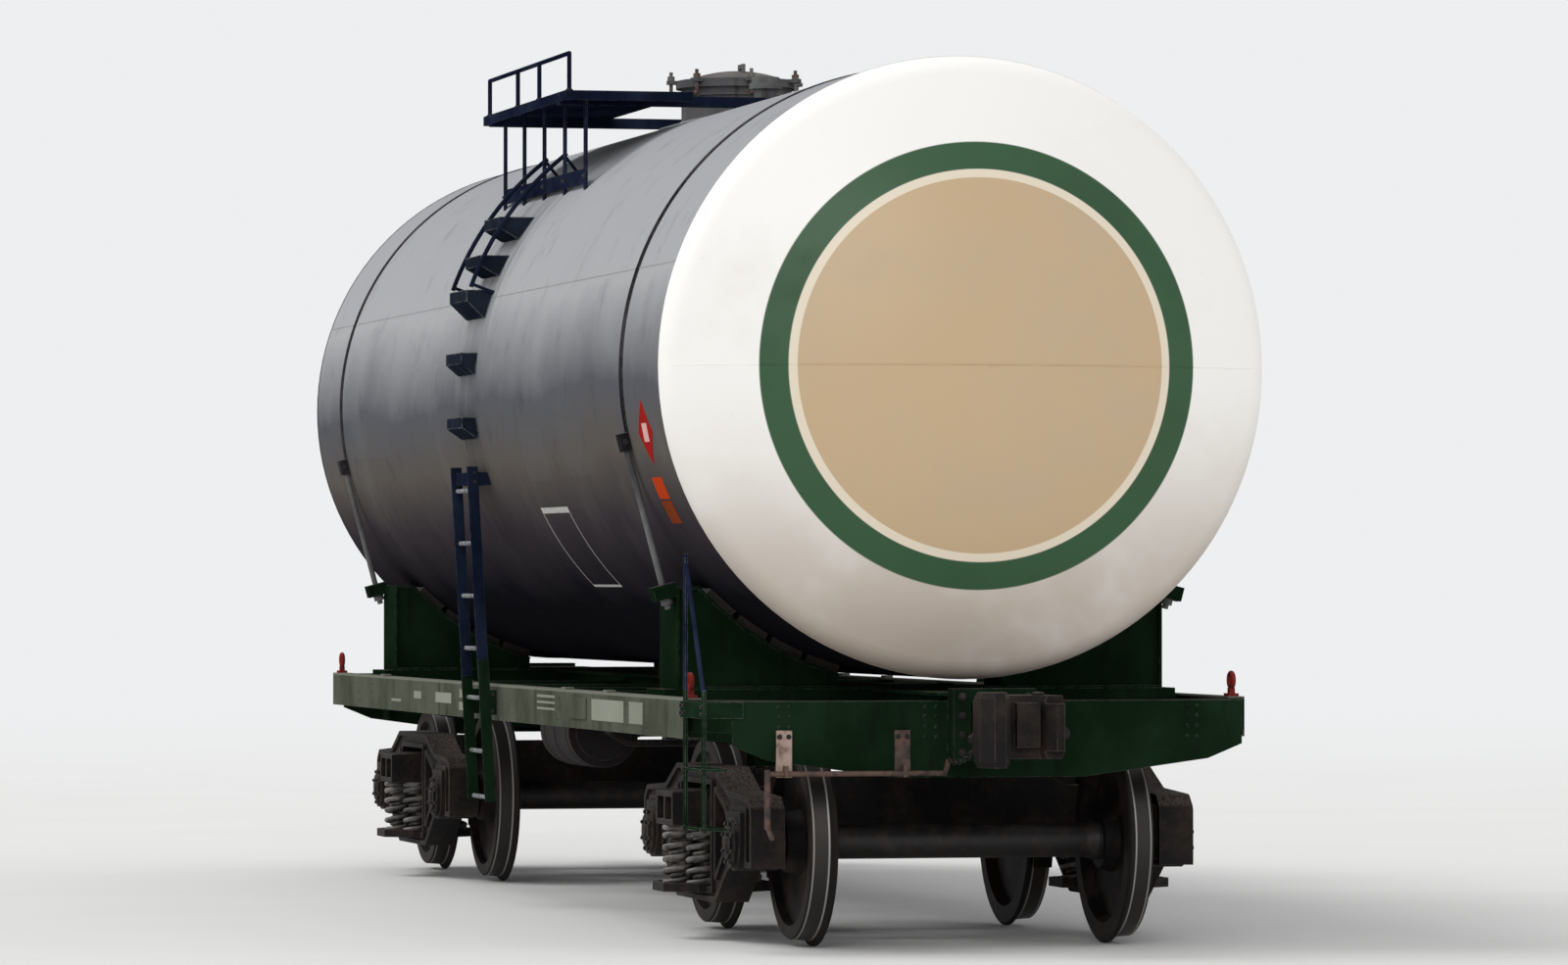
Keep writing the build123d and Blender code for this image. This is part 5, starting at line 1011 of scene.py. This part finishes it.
def deck_tread():
    """Raised lozenges on the platform's two decks."""
    top = DECK_HIGH.z
    columns = int((DECK_HIGH.x - DECK_LOW.x - LOZENGE_SPARE) / LOZENGE_PITCH)
    rows = int(LOZENGE_WIDTH / LOZENGE_PITCH)
    for side, name in ((-1, "left"), (1, "right")):
        lozenges = Shape()
        for i, j in product(range(columns), range(rows)):
            x = DECK_LOW.x + LOZENGE_MARGIN + i * LOZENGE_PITCH
            y = side * (LOZENGE_INNER + j * LOZENGE_PITCH)
            long, wide = LOZENGE if (i + j) % 2 else reversed(LOZENGE)
            points = [(x - long, y, top), (x, y - wide, top), (x + long, y, top), (x, y + wide, top)]
            points.append((x, y, top + LOZENGE_RISE))
            lozenges.add(points, [(0, 1, 4), (1, 2, 4), (2, 3, 4), (3, 0, 4), (0, 3, 2, 1)])
        lozenges.make(f"deck_tread_{name}", "navy", "dark_blue")


NECK_RADIUS = 0.305
LID_FACE = TANK_Z + TANK_RADIUS + 0.21
NECK_PAD_RADIUS = 0.43
PAD_LIFT = 0.008
NECK_WELD = 0.008


def over_crest(x, y, lift):
    """A point on the shell straight above a point of the plan."""
    return (x, y, TANK_Z + sqrt(TANK_RADIUS ** 2 - y ** 2) + lift)


def neck_pad():
    """The doubling plate and weld bead round the hatch's neck."""
    turns = np.arange(0, tau, tau / 72)
    rings = []
    for radius, lift in ((NECK_RADIUS, 0.0), (NECK_RADIUS, PAD_LIFT), (NECK_PAD_RADIUS - 0.006, PAD_LIFT),
                         (NECK_PAD_RADIUS, PAD_LIFT - 0.005), (NECK_PAD_RADIUS, -0.002)):
        rings += [over_crest(radius * cos(t), radius * sin(t), lift) for t in turns]
    pad = Shape()
    pad.add(rings, grid(5, len(turns), True))
    weld = [over_crest(NECK_RADIUS * cos(t), NECK_RADIUS * sin(t), PAD_LIFT) for t in turns]
    tube(pad, weld, NECK_WELD, 8, closed=True)
    pad.make("neck_pad", "shell", "tank_grey", sharp=50)


BAND_RADIUS = 0.33
BAND_DROP = 0.095


def neck_band():
    """The band round the hatch's neck."""
    ring = Shape()
    inner = NECK_RADIUS - 0.001
    profile = [(inner, 0.0), (BAND_RADIUS, 0.004), (BAND_RADIUS, 0.012), (inner, 0.016)]
    lathe(ring, profile, (0, 0, LID_FACE - BAND_DROP), UP, 48)
    ring.make("neck_band", "rod", "rod_grey")


VALVE_FLANGE = (0.7, 0, 4.342)
VALVE_CIRCLE = 0.079


def flange_bolts(name, place, circle, slot):
    """Eight bolts round a level flange."""
    bolts = Shape()
    for spot in ring_places(place, UP, circle, 8, 22.5):
        bolt(bolts, spot, UP, 0.008, 0.009, 0.002)
    bolts.make(name, "bolts", slot)


DECK_BOLT_X = 0.95
DECK_BOLT_Y = (0.56, 0.72, 0.98, 1.14)
BOLT_PAIR = (-0.014, 0.014)


def deck_bolts():
    """Bolts of the decks on their beams and posts."""
    bolts = Shape()
    for way, side, y, dx in product(BOTH, BOTH, DECK_BOLT_Y, BOLT_PAIR):
        bolt(bolts, (way * DECK_BOLT_X + dx, side * y, DECK_HIGH.z), UP, 0.008, 0.007, 0.002)
    bolts.make("deck_bolts", "steel", "bare_steel")


POST_X = (-1.11, -0.56, 0.0, 0.56, 1.11)
POST_FACE = 1.0867
TIE_Z = 3.9266
RAIL_POST_X = (-1.11, -0.3, 0.3, 1.11)
RAIL_POST_Y = 1.17
RAIL_FOOT = [(0.0125, 0.012), (0.017, 0.008), (0.022, 0.0)]


def platform_details():
    """Bolts of the posts on their tie, and the welded feet of the low rails."""
    bolts, feet = Shape(), Shape()
    for side, x, dx in product(BOTH, POST_X, BOLT_PAIR):
        bolt(bolts, (x + dx, side * POST_FACE, TIE_Z), (0, side, 0), 0.008, 0.008, 0.002)
    for side, x in product(BOTH, RAIL_POST_X):
        lathe(feet, RAIL_FOOT, (x, side * RAIL_POST_Y, DECK_HIGH.z), UP, 16)
    bolts.make("post_bolts", "bolts", "bare_steel")
    feet.make("rail_feet", "navy", "dark_blue")


# The ladders' bolts: how far from the middle along X, how high and how far out each stands
LADDER_BOLTS = [
    (0.242, 2.305, 1.512),
    (0.242, 2.355, 1.514),
    (0.254, 1.06, 1.416),
    (0.254, 1.15, 1.416),
]
CORNER_FACE = 1.414
CORNER_BOLTS = [*product((4.972, 5.04, 5.44), (1.135, 1.17)), *product((5.04, 5.44), (0.588, 0.868))]
LADDER_BOLT = (0.009, 0.009, 0.002)


def ladder_bolts():
    """Bolts that hold the ladders and the corner steps."""
    bolts = Shape()
    for side in BOTH:
        for way, (x, z, y) in product(BOTH, LADDER_BOLTS):
            bolt(bolts, (way * x, side * y, z), (way, 0, 0), *LADDER_BOLT)
        for x, z in CORNER_BOLTS:
            bolt(bolts, (-side * x, side * CORNER_FACE, z), (0, side, 0), *LADDER_BOLT)
    bolts.make("ladder_bolts", "bolts", "bare_steel")


# Straps and frame

STRAP_X = BOGIE_X + 0.14
STRAP_HALF = 0.031
SHOE_MIDDLE = (1.4916, 2.4485)
PIN_HEAD = [(0.016, 0.0), (0.016, 0.006), (0.012, 0.009), (0.0, 0.009)]


def strap_pins():
    """The pin heads in the straps' shoes, over the tension rods."""
    pins = Shape()
    y, z = SHOE_MIDDLE
    for end, side, way in product(BOTH, BOTH, BOTH):
        place = (end * STRAP_X + way * STRAP_HALF, side * y, z)
        lathe(pins, PIN_HEAD, place, (way, 0, 0), 20)
    pins.make("strap_pins", "bolts", "bare_steel")


SILL_FACE = SILL_HIGH.y
# Rivets on the side sills, where a beam comes in
SILL_JOINTS = [-4.07, -3.63, -1.92, -0.42, 0.42, 1.92, 3.63, 4.07]
SILL_RIVETS = list(product((-0.028, 0.028), (0.045, 0.098, 0.15)))
# Blank marks on the side sill: two values of X and two heights above its lower edge
SILL_MARKS = [
    (-0.83, -0.50, 0.108, 0.155),
    (-0.84, -0.47, 0.038, 0.084),
    (-1.56, -1.08, 0.07, 0.128),
    (-2.24, -2.01, 0.082, 0.124),
    (-2.97, -2.66, 0.055, 0.07),
    (1.37, 1.84, 0.146, 0.16),
    (1.37, 1.84, 0.115, 0.127),
    (1.37, 1.84, 0.082, 0.094),
    (2.78, 3.56, 0.05, 0.158),
    (3.69, 4.01, 0.05, 0.158),
]
SILL_MARK_LIFT = 0.0012
SILL_PAD = (2.27, 2.66, 0.05, 0.16)
SILL_PAD_LIFT = 0.009
SILL_CLIPS = [-3.3, -0.72, 2.05, 3.1]
# A clip's half length, depth and height
CLIP_SIZE = (0.045, 0.05, 0.012)


def sill_block(shape, side, start, end, low, high, lift):
    """A flat block on a side sill, between two places along it and two heights above its foot."""
    face = side * SILL_FACE
    block(shape, sorted((-side * start, -side * end)), sorted((face, face + side * lift)),
          (SILL_LOW.z + low, SILL_LOW.z + high))


def sill_details():
    """Rivets, blank marks, the raised pad and the clips on both side sills."""
    rivets, marks, pads = Shape(), Shape(), Shape()
    clip_half, clip_deep, clip_high = CLIP_SIZE
    for side in BOTH:
        face = side * SILL_FACE
        for x, (dx, dz) in product(SILL_JOINTS, SILL_RIVETS):
            rivet(rivets, (x + dx, face, SILL_LOW.z + dz), (0, side, 0), 0.009)
        for mark in SILL_MARKS:
            sill_block(marks, side, *mark, SILL_MARK_LIFT)
        sill_block(pads, side, *SILL_PAD, SILL_PAD_LIFT)
        for x in SILL_CLIPS:
            along = (-side * x - clip_half, -side * x + clip_half)
            inward = sorted((face, face - side * clip_deep))
            block(pads, along, inward, (SILL_HIGH.z, SILL_HIGH.z + clip_high))
    rivets.make("sill_rivets", "sill", "sill_grey")
    marks.make("sill_marks", "stencil")
    pads.make("sill_pads", "sill", "sill_grey", bevel=0.002)


BEAM_RIVET_Y = (0.262, 0.318, 0.985, 1.035)
BEAM_RIVET_Z = (1.02, 1.07, 1.12, 1.165)
STRIKER_FACE = HALF_FRAME + 0.11
STRIKER_BOLT_Y = 0.1615
STRIKER_BOLT_Z = (0.95, 1.035, 1.125, 1.215)
LEVER_PLATE = HALF_FRAME + 0.0123
LEVER_BOLT_Y = (-1.032, -0.988, -0.452, -0.408)
LEVER_BOLT_Z = 1.025


def end_beam_details():
    """Rivets of the end beams, bolts of the strikers and of the levers' brackets."""
    for end, sign in ENDS:
        rivets, bolts = Shape(), Shape()
        axis = (sign, 0, 0)
        for side, y, z in product(BOTH, BEAM_RIVET_Y, BEAM_RIVET_Z):
            rivet(rivets, (sign * HALF_FRAME, side * y, z), axis, 0.01)
        for side, z in product(BOTH, STRIKER_BOLT_Z):
            bolt(bolts, (sign * STRIKER_FACE, side * STRIKER_BOLT_Y, z), axis, 0.014, 0.013)
        for y in LEVER_BOLT_Y:
            bolt(bolts, (sign * LEVER_PLATE, sign * y, LEVER_BOLT_Z), axis, 0.009, 0.009)
        rivets.make(f"end_beam_rivets_{end}", "green", "frame_green")
        bolts.make(f"striker_bolts_{end}", "bolts", "running_gear")


BLOCK_ANGLES = (19.0, 26.5, 34.0, 41.5)
BLOCK_MIDDLE = TANK_RADIUS + 0.02
BLOCK_HALF = 0.085


def block_bolts():
    """Bolt ends on both sides of each timber block."""
    bolts = Shape()
    for sign, side, angle, way in product(BOTH, BOTH, BLOCK_ANGLES, BOTH):
        y = side * BLOCK_MIDDLE * sin(radians(angle))
        z = TANK_Z - BLOCK_MIDDLE * cos(radians(angle))
        bolt(bolts, (sign * BOGIE_X + way * BLOCK_HALF, y, z), (way, 0, 0), 0.009, 0.009)
    bolts.make("block_bolts", "bolts", "running_gear")


# Couplers

COUPLER_Z = 1.078
PULL_FACE = HALF_FRAME + 0.61
LIFTER_BOSS = [(0.034, -0.02), (0.034, 0.03), (0.02, 0.036), (0.02, 0.05), (0, 0.05)]
LIFTER_PLACE = (PULL_FACE - 0.175, -0.165, COUPLER_Z - 0.06)
LIFTER_WAY = (-0.55, -0.835, 0)
PIN_BOSS = [(0.03, 0.0), (0.03, 0.012), (0.012, 0.016), (0, 0.016)]
PIN_PLACE = (PULL_FACE - 0.09, 0.1, COUPLER_Z + 0.149)
# A link's half length, half width and wire
CHAIN_LINK = (0.019, 0.011, 0.0045)
CHAIN_ENDS = ((5.518, -0.234, 0.918), (5.815, -0.168, 1.0))
CHAIN_SAG = 0.045
CHAIN_LINKS = 12


def chain(shape, start, end, sign):
    """Oval links, each a quarter turn from the last, hanging between two points."""
    long, wide, wire = CHAIN_LINK
    start, end = np.array(start), np.array(end)
    for i in range(CHAIN_LINKS):
        t = (i + 0.5) / CHAIN_LINKS
        middle = start + (end - start) * t - np.array((0, 0, CHAIN_SAG * 4 * t * (1 - t)))
        slope = end - start - np.array((0, 0, CHAIN_SAG * 4 * (1 - 2 * t)))
        way, first, second = across(slope)
        cross = first if i % 2 else second
        turn = np.arange(12) * tau / 12
        points = [middle + way * long * cos(a) + cross * wide * sin(a) for a in turn]
        tube(shape, [half_turn(p, sign) for p in points], wire, 6, closed=True)


def coupler_details():
    """The lifter's bosses on the coupler heads, and the levers' chains."""
    for end, sign in ENDS:
        bosses, links = Shape(), Shape()
        lathe(bosses, LIFTER_BOSS, half_turn(LIFTER_PLACE, sign), half_turn(LIFTER_WAY, sign), 20)
        lathe(bosses, PIN_BOSS, half_turn(PIN_PLACE, sign), UP, 20)
        chain(links, *CHAIN_ENDS, sign)
        bosses.make(f"lifter_bosses_{end}", "coupler", "coupler_steel", bevel=0.003)
        links.make(f"lever_chain_{end}", "bolts", "bare_steel", sharp=80)


# Brake gear and outlet

CYLINDER = (1.25, 0.52, 0.908)
CYLINDER_HALF = 0.26
CYLINDER_CIRCLE = 0.172
CYLINDER_FLANGE = [(0.188, -0.03), (0.205, -0.028), (0.207, -0.012), (0.188, -0.01)]
ROD_GLAND = [(0.036, 0), (0.036, 0.02), (0.026, 0.03), (0.024, 0.03)]
GLAND_OUT = 0.285
GLAND_DROP = 0.052
RESERVOIR = (-1.3, -0.56, 0.918)
RESERVOIR_BAND = [(0.199, -0.02), (0.2035, -0.02), (0.2035, 0.02), (0.199, 0.02)]
BAND_OFFSETS = (-0.3, -0.02, 0.3)
# The branch pipes, from the reservoir and from the cylinder to the train pipe
BRANCH_PIPES = [
    [
        (-0.875, -0.56, 0.918), (-0.79, -0.56, 0.918), (-0.75, -0.54, 0.9), (-0.75, -0.46, 0.855),
        (-0.75, -0.4, 0.85), (-0.75, 0.26, 0.85), (-0.75, 0.31, 0.865), (-0.75, 0.33, 0.9),
        (-0.75, 0.33, 1.038),
    ],
    [
        (0.965, 0.52, 0.93), (0.88, 0.52, 0.93), (0.84, 0.5, 0.93), (0.82, 0.45, 0.935), (0.81, 0.38, 0.95),
        (0.805, 0.335, 0.98), (0.8, 0.33, 1.038),
    ],
]
BRANCH_RADIUS = 0.013
PIPE_TEE = [
    (0.0, -0.045), (0.028, -0.045), (0.03, -0.03), (0.026, 0), (0.03, 0.03), (0.028, 0.045), (0.0, 0.045),
]


def brake_details():
    """Flanges and bolts of the cylinder, bands of the reservoir and the branch pipes."""
    cast, bolts, pipes = Shape(), Shape(), Shape()
    x, y, z = CYLINDER
    for way in BOTH:
        axis = (way, 0, 0)
        flange = (x + way * CYLINDER_HALF, y, z)
        lathe(cast, CYLINDER_FLANGE, flange, axis, 48)
        for spot in ring_places(flange, axis, CYLINDER_CIRCLE, 10):
            bolt(bolts, spot, axis, 0.01, 0.01)
    lathe(cast, ROD_GLAND, (x + GLAND_OUT, y, z - GLAND_DROP), ALONG, 24)
    x, y, z = RESERVOIR
    for offset in BAND_OFFSETS:
        lathe(cast, RESERVOIR_BAND, (x + offset, y, z), ALONG, 48)
    for path in BRANCH_PIPES:
        tube(pipes, path, BRANCH_RADIUS, 10)
    for path in BRANCH_PIPES:
        lathe(pipes, PIPE_TEE, path[-1], ALONG, 20)
    cast.make("brake_castings", "brake", "running_gear")
    bolts.make("brake_bolts", "bolts", "running_gear")
    pipes.make("branch_pipes", "brake", "running_gear", sharp=60)


OUTLET_FLANGE = (0, 0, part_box("drain_valve")[0].z + 0.025)
OUTLET_CIRCLE = 0.121


# Camera, floor and light

CAMERA_PLACE = Vector((38.70, -8.88, 1.74 + RAIL))
CAMERA_YAW = radians(13.3)
CAMERA_PITCH = radians(0.78)
PHOTO_WIDTH = 1600
FOCAL_PIXELS = 7350
SENSOR = 36.0
FLOOR_HALF = 400.0
FLOOR_PALE = colour(228, 228, 226)
FLOOR_FADE = (11.0, 60.0)
BACKGROUND = colour(238, 239, 240)
SKY_STRENGTH = 0.64
SKY = tuple(SKY_STRENGTH * c for c in (1.0, 1.0, 1.02)) + (1.0,)
KEY_STRENGTH = 1.35
KEY_WIDTH = 32.0
KEY_FROM = Vector((-12, -20, 30))
FILL_STRENGTH = 0.65
FILL_FROM = Vector((30, -8, 14))


def camera():
    """The photographer's place, aim and lens. The photographer's place, with a wider
    view that holds the whole car.
    """
    data = bpy.data.cameras.new("camera")
    data.sensor_width = SENSOR
    data.lens = FOCAL_PIXELS / PHOTO_WIDTH * SENSOR
    data.clip_end = 1000
    view = bpy.data.objects.new("camera", data)
    flat = cos(CAMERA_PITCH)
    ahead = Vector((-cos(CAMERA_YAW) * flat, sin(CAMERA_YAW) * flat, sin(CAMERA_PITCH)))
    view.location = CAMERA_PLACE
    aim(view, ahead)
    bpy.context.scene.camera = view


def floor():
    """A pale sheet that fades into the background far from the car."""
    half = FLOOR_HALF
    corners = [(-half, -half, 0), (half, -half, 0), (half, half, 0), (-half, half, 0)]
    mesh = bpy.data.meshes.new("floor")
    mesh.from_pydata(corners, [], [(0, 1, 2, 3)])
    s = Surface("floor", specular=0.2)
    x, y, _ = s.split()
    away = s.distance(x, y)
    base = s.cover(FLOOR_PALE, DUST, s.noise(0.6, 3.0, 0.5), 0.08)
    material = s.finish(base, 0.75)
    glow = s.node("Emission", {"Color": BACKGROUND, "Strength": 1.0})
    fade = s.between(away, *FLOOR_FADE)
    mixed = s.node("MixShader", {0: fade, 1: s.shader.outputs[0], 2: glow.outputs[0]})
    s.put(s.tree.nodes["Material Output"].inputs["Surface"], mixed.outputs[0])
    mesh.materials.append(material)
    piece = bpy.data.objects.new("floor", mesh)
    show(piece)


def lamp(name, source, strength, width):
    """A soft sun that shines from a place towards the car."""
    data = bpy.data.lights.new(name, "SUN")
    data.energy = strength
    data.angle = radians(width)
    aim(bpy.data.objects.new(name, data), -source)


def world():
    """The sky that lights the car, and the pale background that the camera and reflections see."""
    made = bpy.data.worlds.new("studio")
    bpy.context.scene.world = made
    made.use_nodes = True
    n = Nodes(made.node_tree)
    paths = n.node("LightPath").outputs
    seen = n.most(n.most(paths["Is Camera Ray"], paths["Is Glossy Ray"]), paths["Is Transmission Ray"])
    background = n.tree.nodes["Background"]
    n.put(background.inputs["Color"], n.blend(seen, SKY, BACKGROUND))
    n.put(background.inputs["Strength"], 1.0)


dress_nodes()
weld_seams()
placards()
spring_coils()
axle_box_details()
deck_tread()
neck_pad()
neck_band()
flange_bolts("relief_valve_bolts", VALVE_FLANGE, VALVE_CIRCLE, "bare_steel")
deck_bolts()
platform_details()
ladder_bolts()
strap_pins()
sill_details()
end_beam_details()
block_bolts()
coupler_details()
brake_details()
flange_bolts("outlet_bolts", OUTLET_FLANGE, OUTLET_CIRCLE, "running_gear")
side_frame_rivets()
camera()
floor()
lamp("key", KEY_FROM, KEY_STRENGTH, KEY_WIDTH)
lamp("fill", FILL_FROM, FILL_STRENGTH, KEY_WIDTH)
world()
bpy.context.scene.view_settings.view_transform = "Standard"
